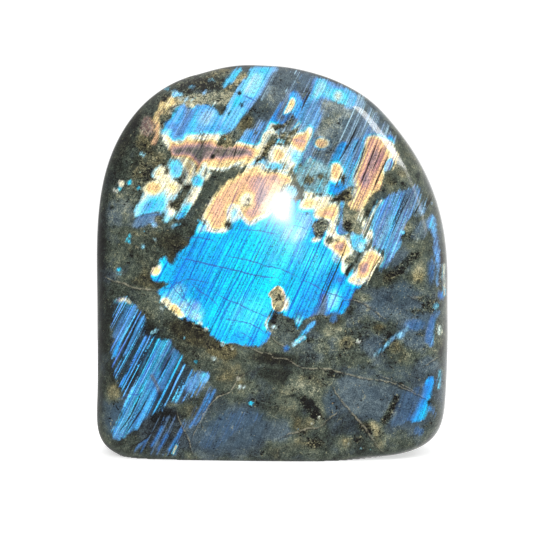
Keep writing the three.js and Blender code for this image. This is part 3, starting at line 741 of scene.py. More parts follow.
# The great azure patch, the orange one over its top and the string of bits down its right side.
GREAT_PATCH = [
    flash(Outline((-26, 84.5), (-28, 79.5), (-29.8, 77), (-30.3, 75), (-33, 73.2), (-36.3, 68.5),
        (-37.5, 68.8), (-38.8, 71), (-40.3, 70.3), (-41.3, 68), (-43.5, 66.5), (-43.7, 64), (-42.5, 62),
        (-37.5, 61), (-39.5, 59.8), (-41.5, 58), (-40.5, 56.5), (-40.5, 54.5), (-38, 52.7), (-33.5, 48.6),
        (-31.5, 48.8), (-28.5, 46.8), (-25, 45), (-19, 40), (-14, 39.2), (-9, 38.4), (-5, 38), (-2.3, 40),
        (-0.8, 42.5), (-1.5, 45), (0.3, 50.5), (5, 49.5), (8, 47.8), (9, 44.9), (11.5, 47.5), (15, 49.5),
        (18, 50.2), (23.5, 49.6), (26.5, 51.5), (29.3, 58), (32.5, 61), (30, 66), (24.5, 80), (20, 89),
        (9, 91), (2, 89), (-2.5, 86), (-9, 83.5), (-13, 88), (-16, 82), (-22, 80.5)), 7.6, 1, ragged=0.5,
        mottle=0.8, lined=0.85),
    tint(Oval(-6, 62, 15, 20, -20), 7.2, 7),
    *ovals(tint, (-30, 66, 6, 8, -20, 7.9), (-24, 72, 3, 8, -25, 7.6), (-6, 41.5, 5, 2.5, 0, 8.1),
        (-22, 46, 3, 3, 0, 7.7), (0, 47, 2, 4, 0, 7.9), (24, 63, 2.4, 2, 0, 8.7), (25.5, 56, 3, 3, 0, 7.9),
        (14, 50, 4, 2.5, 20, 8.2), soft=3, mottle=0.9),
    *ovals(tint, (4, 75, 9, 7, 60, 7.05), (16, 70, 5, 5, 0, 7.15), (-8, 50, 8, 6, 0, 7.2), soft=4,
        pale=0.08),
    tint(Oval(8.5, 79, 4, 2.5, 20), 7.4, 1.5, pale=0.5),
    tint(Oval(12, 84.5, 3, 3.5), 7.9, 1.5, pale=0.35),
    tint(Oval(21.8, 55, 2.6, 3.6, -20), 6.8, 1.3, pale=0.4),
    tint(Oval(9.5, 47.5, 1.6, 1.4), 6.5, 1, pale=0.2),
    tint(Outline((18, 57), (17, 51), (14, 49), (17, 48.5), (19.5, 51.5), (20, 56)), 10.3, 1, pale=0.3),
    # the pale lower left of the patch, and its orange bits
    tint(Outline((-40.5, 55.5), (-37, 58), (-33.5, 60.5), (-31, 59), (-32, 56), (-27, 54), (-25, 50),
        (-26.5, 46.5), (-31, 48.5), (-37, 51.5)), 7.2, 1.5, pale=0.35, mottle=2.2, ragged=0.9),
    *ovals(tint, (-38.8, 54.4, 1.8, 1.5, 0, 4.4), (-35.6, 51.6, 2.8, 1.7, -35, 3.2),
        (-33.2, 49.6, 1.4, 0.9, 0, 2.8), pale=0, mottle=0.9, edged=0.4, lined=0.2),
    *ovals(tint, (-29, 49.8, 3.2, 1.6, -20, 5.9), (-31.8, 53, 1.6, 1.4, 0, 6.1), (-34, 59, 1.2, 1.4, 0, 6.1),
        (-41, 66.6, 0.8, 1.6, -20, 5.4), pale=0.2, mottle=1.4),
    tint(Oval(-42.6, 66, 1.9, 2, 20), 3.4, pale=0, edged=0.5),
    *ovals(tint, (-26, 81, 1.2, 1.8, -20, 6.4), (-22.8, 80.6, 2.2, 0.8, 0, 5.8),
        (22.8, 70.5, 1.4, 2.2, 20, 6.2), pale=0.2),
    # slivers below its right side
    flash(Outline((9.3, 41), (11, 44), (13.5, 46.5), (15.5, 47.3), (15, 45.5), (10.5, 41.3)), 8, 0.7,
        fray=0.3, pale=0.15),
    flash(Streak(1.5, (7.8, 39), (11.5, 41.6)), 5.8, 0.7, strength=0.9, pale=0.1, mottle=1.6, ragged=0.25),
    flash(Oval(5.2, 37.4, 1, 0.9), 9, strength=0.85),
    flash(Outline((20.5, 47), (21.5, 49.8), (23.5, 50), (23, 47.5)), 8.8, 1, strength=0.45, fray=0.6),
    # the orange patch over its top
    flash(Outline((-25.5, 84.5), (-24.5, 87), (-22.5, 91), (-16.5, 98), (-14.5, 99), (-12, 101),
        (-10, 101.6), (-8.5, 103.5), (-5.5, 104.2), (-3.8, 103.2), (-3, 101.5), (0, 102), (5.8, 101),
        (7.5, 99), (6.5, 96.5), (3.5, 95), (-0.8, 87.5), (-2.5, 85.5), (-5, 84.4), (-8, 82.8), (-10.3, 84.3),
        (-13.7, 88.6), (-15.5, 87), (-15.5, 83), (-17, 80.3), (-22.5, 80.5), (-23.5, 83)), 2.5, 1.7,
        mottle=1.2, edged=0.85, ragged=0.35),
    *ovals(tint, (-6, 97, 2.8, 3, 0, 1.3), (-4, 92.5, 2.2, 5, -10, 1.1), (-7.6, 87.7, 1.6, 1.6, 0, 1.4),
        (1.2, 99.3, 2, 1.4, 0, 1.4), (-19.5, 88, 1.5, 3, -20, 1.8), soft=1.6),
    *ovals(tint, (-9.4, 91.8, 2.8, 2.5, 20, 3.2), (-2.5, 88.6, 1.5, 1.6, 0, 3.1),
        (-7, 101.8, 2.5, 1.5, 0, 3.2), (4.6, 99.6, 2, 1.2, 0, 3.3), (-23.3, 85, 1.3, 2.5, 0, 3.4),
        (-22.5, 90.5, 1.2, 1.6, -30, 3.4)),
    flash(Outline((-16.5, 88), (-14, 90), (-11.5, 88), (-12, 84.5), (-15, 83.5)), 4.7, 1.5),
    tint(Oval(-13.7, 86.6, 1.1, 1.9, -20), 6, 1),
    flash(Oval(6.4, 94.6, 2.3, 2.4), 6.6, 1.2, pale=0.4),
    # the string of orange bits down its right side
    flash(Outline((19, 75.8), (20.3, 78.3), (24.5, 79), (26.8, 78.3), (27.8, 76), (29, 73.5), (27.9, 68.5),
        (26.9, 65.8), (25.5, 65.4), (24.9, 70.3), (21.5, 73.5)), 3.1, 1.4, mottle=1.2),
    *ovals(tint, (24.3, 74.8, 1.5, 1.5, 0, 1), (25.8, 77.3, 1.2, 1, 0, 3.7), (26.3, 67, 0.8, 1.5, 0, 4.6)),
    flash(Oval(16, 77.2, 2, 1.1, 20), 4.9, mottle=1.6),
    flash(Outline((28.5, 79), (31.5, 78.8), (33, 77), (33.5, 74), (32, 72.5), (30, 73), (28.5, 75.5)), 7.5,
        1, pale=0.35, fray=0.3),
    tint(Oval(32, 74.6, 1.5, 1.6), 6, 1, pale=0.4),
    flash(Outline((27.8, 62.3), (29.3, 64.3), (32.4, 70), (33.3, 72.6), (35.3, 73.6), (37.2, 73.2),
        (38.8, 72), (40.2, 71), (39.3, 68.3), (33.7, 61.8), (32, 60.6), (29.8, 60.8)), 3.2, 1.5, mottle=1.2),
    *ovals(tint, (33, 66.8, 1.8, 2.2, -20, 0.9), (31, 62.2, 2, 0.9, 10, 5.1), (36, 70.5, 1.2, 1.6, 0, 2.6)),
]

# The streaky blue over the upper right and down the right side.
RIGHT = [
    # the dim, streaky flash over the upper right, and the rock that shows in it
    flash(Outline((-8, 115), (-5, 120), (0, 126), (4, 134), (9, 137.5), (20, 134), (30, 129.5), (41, 118),
        (44, 112), (38, 108), (34, 98), (26, 96), (20, 100), (13, 101), (9, 106), (6, 113), (0, 118)), 10.4,
        2, strength=0.78, fray=1.5, comb=0.8, pale=0.48, mottle=1.9),
    *ovals(rock, (-1, 126, 3.5, 7, -25, 0.15), (4, 134.5, 5, 3.4, 0, 0.25), warm=-0.9, fray=1, haze=0.3),
    *ovals(rock, (2, 129.5, 2.8, 4, -15, 0.45), (22.3, 124, 4.6, 2.3, -15, 1), (20.5, 117, 4, 4, 0, 0.7),
        (37, 124, 1.5, 2.5, 45, 0.3), (21, 109, 1.6, 5, -25, 0.5), fray=1.2, warm=-1.1, haze=0.22),
    flash(Outline((37, 88), (39.5, 91), (46, 94.8), (49, 95.3), (51.8, 95.7), (52.8, 93.5), (50.5, 86.5),
        (48.5, 84.3), (47, 82), (46.6, 79), (46, 77.3), (47.3, 75.5), (43, 70.8), (39, 65.6), (39, 68),
        (40.5, 70.7), (39.5, 73), (37, 75), (36, 78), (35, 80.5)), 8, 1.2, fray=1.8, pale=0.28, comb=0.45,
        mottle=1.3, lined=0.8, strength=0.9),
    *ovals(tint, (44.3, 73.8, 2.2, 2.3, 30, 7.4), (39, 84, 2, 2.5, -20, 7.7), (43, 82, 1.5, 2, 0, 7.7),
        comb=0.15, soft=1.2),
    tint(Oval(40.5, 82, 3.4, 9, -22), 7.7, 3, pale=0.34, comb=0.3),
    tint(Outline((46, 95), (51.5, 95.7), (52.5, 92), (50, 88), (47, 88)), 8.3, 1.5, strength=0.8, comb=0.6),
    flash(Streak(1.5, (39.3, 91.2), (37, 88), (33.3, 80), (31.5, 76.6)), 5.2, 0.7, mottle=1.5, ragged=0.25),
    *ovals(flash, (32.9, 83, 1.1, 2.4, 0, 3.8), (35.2, 78.6, 1.3, 2.2, -10, 4.4),
        (33.8, 76.6, 1.4, 1.5, 0, 5.4), mottle=1.6),
    flash(Outline((50, 77.5), (52, 82), (55, 84.5), (57, 83), (56, 79), (54, 77)), 10.2, 1.5, strength=0.55,
        pale=0.4, comb=0.7, fray=1),
    flash(Oval(54.5, 88.3, 1.4, 3, -25), 8.5, 1, strength=0.8, pale=0.45, comb=0.4),
    flash(Outline((55.8, 83), (57.5, 86.3), (59, 84), (59.3, 79.5), (60.6, 70), (60.3, 65), (60, 60.3),
        (59.2, 62), (59.2, 67), (58.5, 72), (58.2, 77), (57.3, 80)), 8.3, 0.8, pale=0.3, comb=0.35,
        fray=0.3),
    *ovals(tint, (57.7, 82.3, 1.2, 1.8, 0, 7.4), (58.8, 75.5, 1, 3, 0, 9), soft=1, pale=0.3),
    flash(Oval(57.5, 66, 1.3, 4), 9.6, 1.5, strength=0.5, comb=0.5),
    flash(Oval(61.2, 56.6, 0.9, 1.4), 9.2, strength=0.9),
    flash(Streak(0.9, (62, 68), (62.3, 57)), 4.2, strength=0.7, mottle=1.8, ragged=0.25),
    *ovals(flash, (59.5, 52.7, 0.8, 0.9, 0, 6.4), (60.4, 44, 0.75, 1.7, -10, 4.3)),
    flash(Streak(1.7, (60, 50.5), (58.3, 47.5), (57.6, 38.8)), 8.5, 0.9, strength=0.85, pale=0.25, comb=0.35,
        fray=0.3, ragged=0.25),
    flash(Outline((55.5, 40), (56.5, 46), (58, 49.5), (58.5, 46), (57.5, 40)), 9.4, 1.5, strength=0.5),
    flash(Oval(51.5, 46, 3.5, 2), 9.8, 1.6, strength=0.5, fray=0.5),
    flash(Streak(1.3, (38.8, 36.2), (41.5, 38.7), (44, 41.3), (49, 44.6)), 7.6, 1, strength=0.5, fray=0.5,
        pale=0.5, comb=0.3, ragged=0.25),
    *ovals(flash, (41.8, 38.8, 0.9, 0.7, 45, 7.4), (46.6, 42.3, 1.5, 1.1, 40, 7.5),
        (37.9, 35, 0.8, 0.4, 0, 6), strength=0.8, pale=0.5),
    flash(Outline((49, 11), (49.7, 12.9), (51.7, 14.6), (52.5, 17), (54.3, 22.8), (55.7, 25.2), (57.2, 26.9),
        (58.7, 26.2), (58, 20.5), (57, 17.8), (56, 12.5), (54, 10.7), (51, 10.2)), 7.8, 0.8, fray=0.3,
        ragged=0.4),
    *ovals(tint, (53, 15.5, 1.5, 2.5, -15, 7.2), (57.3, 23.5, 0.9, 3, 0, 8.4), soft=1.2),
    flash(Outline((43, 10), (44, 14), (49, 22), (54, 23), (53, 18), (50, 12), (47, 9)), 9.9, 2.5,
        strength=0.35, fray=1.2, comb=0.4),
    flash(Streak(1.1, (60.4, 22.8), (61, 29)), 7.2, strength=0.7, pale=0.4, ragged=0.25),
    flash(Oval(58.3, 14.5, 0.9, 2.2), 8.8, strength=0.45),
    flash(Oval(53.5, 7, 2, 1.8), 9.6, 1.4, strength=0.4),
]

# The comb of blue bars at the lower left.
BARS = [
    flash(Outline((-57.3, 54.8), (-54, 56), (-51.5, 55.5), (-49.5, 52.5), (-46, 48.8), (-46.5, 45),
        (-46.3, 42), (-42, 42), (-40, 40.8), (-37, 40), (-35, 37), (-32.5, 35), (-32, 31.5), (-29.5, 31),
        (-28.5, 28.5), (-25, 28.8), (-22.5, 27), (-24.5, 23), (-27, 20.5), (-31, 18.5), (-35.5, 17.5),
        (-38, 18), (-40.5, 15), (-47, 10.5), (-53.5, 5), (-56.5, 3.6), (-58.8, 6.5), (-56, 12),
        (-54.2, 16.5), (-54.5, 21), (-57.5, 28), (-58.2, 36), (-58, 46)), 7.85, 1.2, fray=0.9, comb=0.96,
        pale=0.2, mottle=1.2, lined=0.8),
    flash(Outline((-40.3, 40.9), (-37, 40.3), (-38, 37), (-40.5, 33), (-46, 19), (-47.5, 14), (-50, 9.5),
        (-54, 4.5), (-57.5, 5), (-55.5, 11), (-45, 33.5), (-42.5, 37.5)), 7.6, 0.8, fray=0.7, comb=0.42,
        pale=0.2, mottle=1.2, lined=0.9),
    flash(Streak(3.2, (-41.5, 27), (-44.5, 20), (-50, 9)), 8, 0.9, comb=0.45, pale=0.15, fray=0.6),
    flash(Streak(2.2, (-35, 35.7), (-38, 30), (-41, 23.5)), 8.2, 0.9, comb=0.5, pale=0.2, fray=0.6),
    flash(Streak(1.2, (-47, 48.5), (-53.5, 35.5)), 8.4, 0.7, comb=0.3, pale=0.15, ragged=0.25),
    flash(Streak(1.6, (-49.8, 52.5), (-56, 40.5)), 8.4, 0.7, comb=0.4, pale=0.15, ragged=0.25),
    flash(Streak(1.4, (-52, 52.5), (-55, 47), (-57.2, 42)), 8.7, 0.7, comb=0.4, pale=0.2, ragged=0.25),
    flash(Streak(1.3, (-55.7, 39.5), (-57.3, 35)), 8.4, 0.7, ragged=0.25),
    *ovals(flash, (-29, 24.3, 1.7, 2.6, -30, 8.2), (-24.7, 26.8, 1.8, 1.6, -20, 8), strength=0.9, pale=0.2,
        comb=0.25, fray=0.4),
    tint(Oval(-25, 27.8, 0.9, 0.8), 7, pale=0.2),
    *ovals(tint, (-54.5, 55.3, 2.4, 1.1, 10, 5), (-51.8, 54.4, 1.2, 0.9, -30, 4.9), comb=0.3, pale=0.2),
    tint(Streak(0.9, (-43.8, 27.3), (-42.3, 24.5), (-41, 21)), 11, 0.6, strength=0.7, pale=0.5),
    flash(Outline((-51, -1), (-48, 3), (-44, 7), (-40, 12), (-35, 12), (-31, 11), (-29, 16), (-25, 22),
        (-19, 24), (-21, 18), (-24, 12), (-32, 0), (-36, -2), (-44, -2)), 9.6, 2, strength=0.4, fray=1.2,
        comb=1, pale=0.2, mottle=1.8),
    flash(Streak(0.5, (-44, 1.6), (-42.2, 4.5), (-40.2, 8.5)), 8.5, strength=0.85, ragged=0.2, fray=0.2),
    flash(Streak(0.5, (-49.3, 0.9), (-46.3, 3.6)), 9, strength=0.8, ragged=0.2, fray=0.2),
    flash(Streak(0.5, (-37.6, 0), (-33, 7.5)), 8.6, strength=0.85, ragged=0.2, fray=0.2),
    flash(Streak(0.5, (-41.5, 0.5), (-38.5, 5.5)), 8.9, strength=0.7, ragged=0.2, fray=0.2),
    flash(Streak(0.4, (-36.3, -1.5), (-35, 1.5)), 3.2, strength=0.6, ragged=0.2, fray=0.2),
    flash(Streak(0.5, (-30, 8.5), (-27.6, 12.3), (-23, 20.5)), 8.6, strength=0.85, ragged=0.2, fray=0.2),
    flash(Streak(0.5, (-28, 9.5), (-25.6, 12.7), (-21, 22)), 8.9, strength=0.8, ragged=0.2, fray=0.2),
    flash(Outline((-26, 2), (-22, 10), (-16, 14), (-8, 14), (-4, 12), (-10, 8), (-16, 4), (-22, 1)), 9.9,
        3.5, strength=0.3, fray=2, ragged=1, comb=0.7),
]

# Rock that cuts into the flash, the grey inclusion and the black clusters.
CUTS = [
    *ovals(rock, (-17, 123.8, 0.9, 0.6, 30, -0.9), (-15.8, 122.7, 0.5, 0.4, 0, -0.9),
        (-11.9, 129.6, 0.8, 0.8, 0, -1), (-11, 125.4, 0.8, 0.9, 0, -0.9), (-10, 126.4, 0.6, 0.5, 0, -0.9),
        (-25.2, 114.6, 0.9, 0.5, 0, -0.9), (-27.3, 112.9, 1, 0.9, 0, -0.8),
        (-25.5, 112.4, 0.6, 0.9, 0, -0.7), (-21.6, 107, 0.9, 0.8, 0, -1), (-19.5, 108.6, 0.5, 0.5, 0, -0.9),
        (-18.6, 111.6, 1, 0.7, 30, -0.9), (4.4, 103.6, 1.2, 1.4, 0, 0.6), (-2.3, 105.9, 1.3, 1.4, 0, 0.2),
        (-1.9, 102, 0.5, 0.4, 0, 0), (13.5, 98.4, 2.2, 1.6, 0, 0), (17, 99.8, 1.4, 1.1, 20, 0.1),
        (25.5, 98.5, 0.7, 1.4, 0, -0.3), (-35, 89.6, 1.7, 1.5, 0, -0.2), (-40.9, 84.4, 1.5, 1.6, 0, 0.3),
        (-32.2, 92, 1.3, 2.2, -25, 0.3), (-37.9, 101.6, 0.8, 1.2, 0, -0.3), (-31.8, 99.7, 0.6, 1, 0, -0.3),
        (-9.6, 91.9, 1, 0.6, 30, 0.1), (-8.6, 91.2, 0.6, 0.9, 0, -0.7), (-9.2, 89.4, 0.9, 0.5, 0, -0.3),
        (-15.8, 82.2, 1.3, 1.6, 0, -0.9), (17, 93.4, 1.2, 0.9, 0, 0.5), (36.9, 90, 0.7, 1, -30, -0.9),
        (34.4, 86.6, 0.6, 1.6, -35, -0.9), (20.8, 76.8, 1.1, 0.9, 0, 0.4), (23.3, 76.8, 0.4, 0.4, 0, -0.7),
        (27.9, 69.4, 1.3, 1.9, -20, 0.6), (47.6, 79, 0.9, 0.8, 0, -0.9), (56.2, 90.8, 0.5, 1.8, -25, -0.6),
        (-37.4, 123.3, 1.8, 0.6, 0, 0.4), (-33.3, 111.9, 0.4, 0.5, 0, 0.3), warm=0.5, pits=0.6),
    rock(Streak(1.8, (-16.6, 131), (-14, 132.6), (-9.8, 135.8)), 0.8, 1, pits=0.6),
    rock(Outline((14.3, 81.3), (15.3, 83.6), (17.8, 84.4), (20, 83.5), (19.8, 81), (16.6, 77.3)), 0.65, 0.3,
        pits=0.9),
    rock(Outline((21.3, 90.7), (24, 93.5), (27.8, 94.5), (29, 92.8), (27, 91.3)), 0.7, 0.5, pits=0.8),
    rock(Streak(1, (21.6, 91), (24, 91.8), (25, 93.2), (27, 93.8)), -0.9, 0.6),
    rock(Streak(0.9, (31.7, 72), (30.6, 70.2), (30.2, 69)), -1, 0.5),
    rock(Streak(1.3, (29, 68), (28, 66.8), (26.9, 64.6)), -1, 0.5),
    rock(Streak(1.5, (7, 121.5), (5.5, 119.3), (4, 117.8), (1.2, 117.5)), 0.3, 0.9, pits=1),
    rock(Streak(1.9, (3.8, 114.6), (1.5, 113.2), (0.5, 111.9), (-1.2, 111.2), (-2.3, 109.6), (-3.2, 107.2),
        (-5.2, 105.6)), 0.4, 0.8, pits=1),
    rock(Streak(1.4, (8.6, 116.2), (6.6, 114.9), (4.8, 111.2)), 0.3, 0.9, pits=1),
    rock(Streak(0.9, (-33.8, 93.5), (-32, 95.3), (-30, 96.3)), -0.9, 0.8),
    # the grey inclusion, with its thin pale rim, and the crumbly one below it
    tint(Outline((-1.2, 57.3), (1.5, 60), (3.5, 59.4), (4.6, 57), (4.5, 53.5), (3.6, 51.2), (2.2, 50.8),
        (0.6, 51.5), (-0.2, 53.5), (-0.2, 55.6)), 3.3, 0.3, edged=0.3),
    rock(Outline((-0.5, 57.2), (1.7, 59.4), (4, 57), (3.3, 52), (1, 52), (0.4, 55.6)), 1.2, 0.5, pits=0.2),
    tint(Oval(5.2, 53.4, 0.8, 2, -10), 4.6, 0.8, pale=0.3),
    rock(Outline((1.5, 51.5), (0.2, 51), (-2.6, 47), (-2.2, 44.7), (1, 40.8), (4, 38.3), (6.5, 39),
        (8.3, 42), (8.8, 45), (7.5, 47.6), (5.5, 49), (3.2, 49.8)), 0.25, 0, pits=0.3, haze=0.15),
    *ovals(rock, (0.3, 48.6, 1.2, 2.4, 0, -0.6), (1.8, 50.8, 0.9, 0.7, 0, -1), (6, 47.5, 0.7, 0.5, 0, -1),
        warm=0.8, pits=1),
    flash(Streak(0.9, (-1, 49), (-2.3, 46.8), (-1.7, 44.4)), 5, 0.5, mottle=1.5, ragged=0.25),
    *ovals(flash, (0.6, 45.2, 0.5, 0.4, 0, 5.4), (47.1, 79.6, 0.5, 0.5, 0, 5.3)),
    cloud(Oval(17.5, 51, 2.3, 2.6, -20), 1.2, strength=0.55),
    cloud(Oval(9.5, 49.3, 1.2, 1.8, -35), 1, strength=0.6),
    *ovals(rock, (13.8, 17, 1.7, 1.7, 30, -1.9), (15.9, 15, 1.5, 0.8, -20, -1.9),
        (16.8, 13, 0.6, 0.5, 0, -1.6), (12.2, 15.6, 0.5, 0.9, 20, -1.7), (15, 12.6, 0.8, 0.6, 0, -1.9),
        (6.8, 20, 1.9, 0.35, 10, -1), (34.8, 7, 1.2, 0.5, -40, -1.4), (32.6, 9.6, 0.6, 0.5, 0, -1.4),
        (43.6, 15.4, 0.9, 0.5, 60, -1.4), (10, 18.6, 0.9, 0.35, -30, -1), (12, 14.4, 1.4, 0.3, 0, -1),
        (21.5, 28.6, 1, 0.6, 0, -1), (24, 27.5, 1, 0.8, 0, -1), (61.2, 36.5, 0.5, 1.6, -20, -1),
        (52.4, 100, 0.8, 1.2, 0, -1), (2, 35, 1.6, 0.6, 0, -1), (36.8, 30.4, 1, 0.35, 0, -1),
        (42.7, 32, 0.8, 0.3, 0, -1), (59.4, 51, 0.5, 1.5, -30, -1), (30.5, 12.3, 0.5, 0.7, 30, -1),
        (-27.5, 132.4, 1.3, 0.8, 20, -1.6), (-24.6, 131, 0.9, 0.7, 0, -1.5), (-22, 133.6, 1.2, 0.8, 0, -1.6),
        (-30, 130.2, 0.8, 0.6, 0, -1.5), (-19.6, 131.4, 0.8, 0.7, 0, -1.5), (-26, 134.4, 0.7, 0.5, 0, -1.5),
        (-33.5, 131, 0.7, 0.5, 0, -1.4), (-17.4, 134.6, 0.6, 0.5, 0, -1.4)),
]

# Small single grains: place across, place up, radius and tone; a tone below 0 is a black pit.
GRAINS = [
    (-51.8, 76.5, 0.7, 6.9), (-51.4, 78.2, 0.4, 6.9), (-46.7, 74.5, 0.6, 6.2), (-55.4, 66.1, 0.8, 7.4),
    (-55.4, 64.6, 0.4, 6.3), (-51.4, 97.7, 0.6, 6.9), (-48.2, 95.7, 0.5, 7.1), (-55.2, 95.3, 0.6, 6.9),
    (-54.3, 97.3, 0.9, 4.8), (-56.5, 94.6, 0.4, 3.6), (-42.3, 77, 0.5, 5.8), (-46.8, 107.8, 0.6, 6.1),
    (-49, 74.4, 0.5, 3.2), (-21.5, 33.7, 0.5, 5.5), (-43.8, 43.2, 0.4, 6), (-41.8, 44.3, 0.4, 6),
    (-42.4, 43.3, 0.3, 6), (-11.7, 23.2, 0.5, 5.5), (-10.4, 23.4, 0.4, 5.5), (-8, 17.4, 0.7, 7),
    (-40.1, 51.9, 0.4, 5.4), (-26.2, 46.4, 0.4, 5.6), (-24.1, 44.2, 0.4, 5.2), (-18.1, 39, 0.4, 5.6),
    (-14.5, 37.3, 0.3, 5.2), (-27.9, 32.5, 0.4, 7), (-12.4, 26.3, 0.4, 4.6), (14.3, 9.7, 0.1, 5.2),
    (16, 8.9, 0.1, 5.4), (16.8, 12.2, 0.1, 5.2), (27.8, 2.4, 0.2, 5.4), (32.7, 0.2, 0.4, 6),
    (31.3, 39.9, 0.4, 5.2), (-31.9, 41.2, 0.4, 6.4), (-20.6, 126.2, 0.5, 5.2), (-28.8, 125.2, 0.6, 5),
    (46.9, 97.3, 0.5, -1), (40.1, 94.6, 0.6, -1), (28.5, 79.3, 0.4, -1), (42.7, 116.4, 0.4, -1),
    (26.8, 42.4, 0.5, -1), (28.6, 42.8, 0.5, -1), (31.6, 42, 0.5, -1), (34.9, 41.5, 0.5, -1),
    (33.1, 35, 0.5, -1), (33.1, 30.3, 0.4, -1), (47.7, 38.7, 0.5, -1), (47, 37.3, 0.4, -1),
    (55.3, 37.6, 0.5, -1), (52.5, 32.9, 0.4, -1), (40.1, 18.4, 0.4, -1), (57.1, 17.6, 0.6, -1),
    (32, 47, 0.4, -1), (42.3, 46.5, 0.5, -1), (37.8, 59.5, 0.5, -1), (52.7, 61.8, 0.5, -1),
    (14.8, 34.9, 0.4, -1), (13, 34.8, 0.4, -1), (21.5, 33.6, 0.4, -1), (23.6, 33.8, 0.4, -1),
    (20.3, 41.4, 0.4, -1), (-10, 33, 0.4, -1), (17.2, 31.4, 0.4, -1), (28.7, 51.3, 0.4, -1),
    (-58.2, 57.5, 0.7, -1), (-62, 51.5, 0.8, -1), (-57.8, 88.7, 0.7, -1), (-57, 81.7, 0.4, -1),
    (-28.3, 132.1, 0.5, -1), (-25, 133, 0.6, -1), (-21.4, 132.5, 0.6, -1), (-15.6, -1.1, 0.6, -1),
    (12, 130.8, 0.4, -1), (24.4, 62.5, 0.3, 9.6), (28.7, 58.7, 0.3, -1), (12.9, 86.1, 0.3, -1),
]

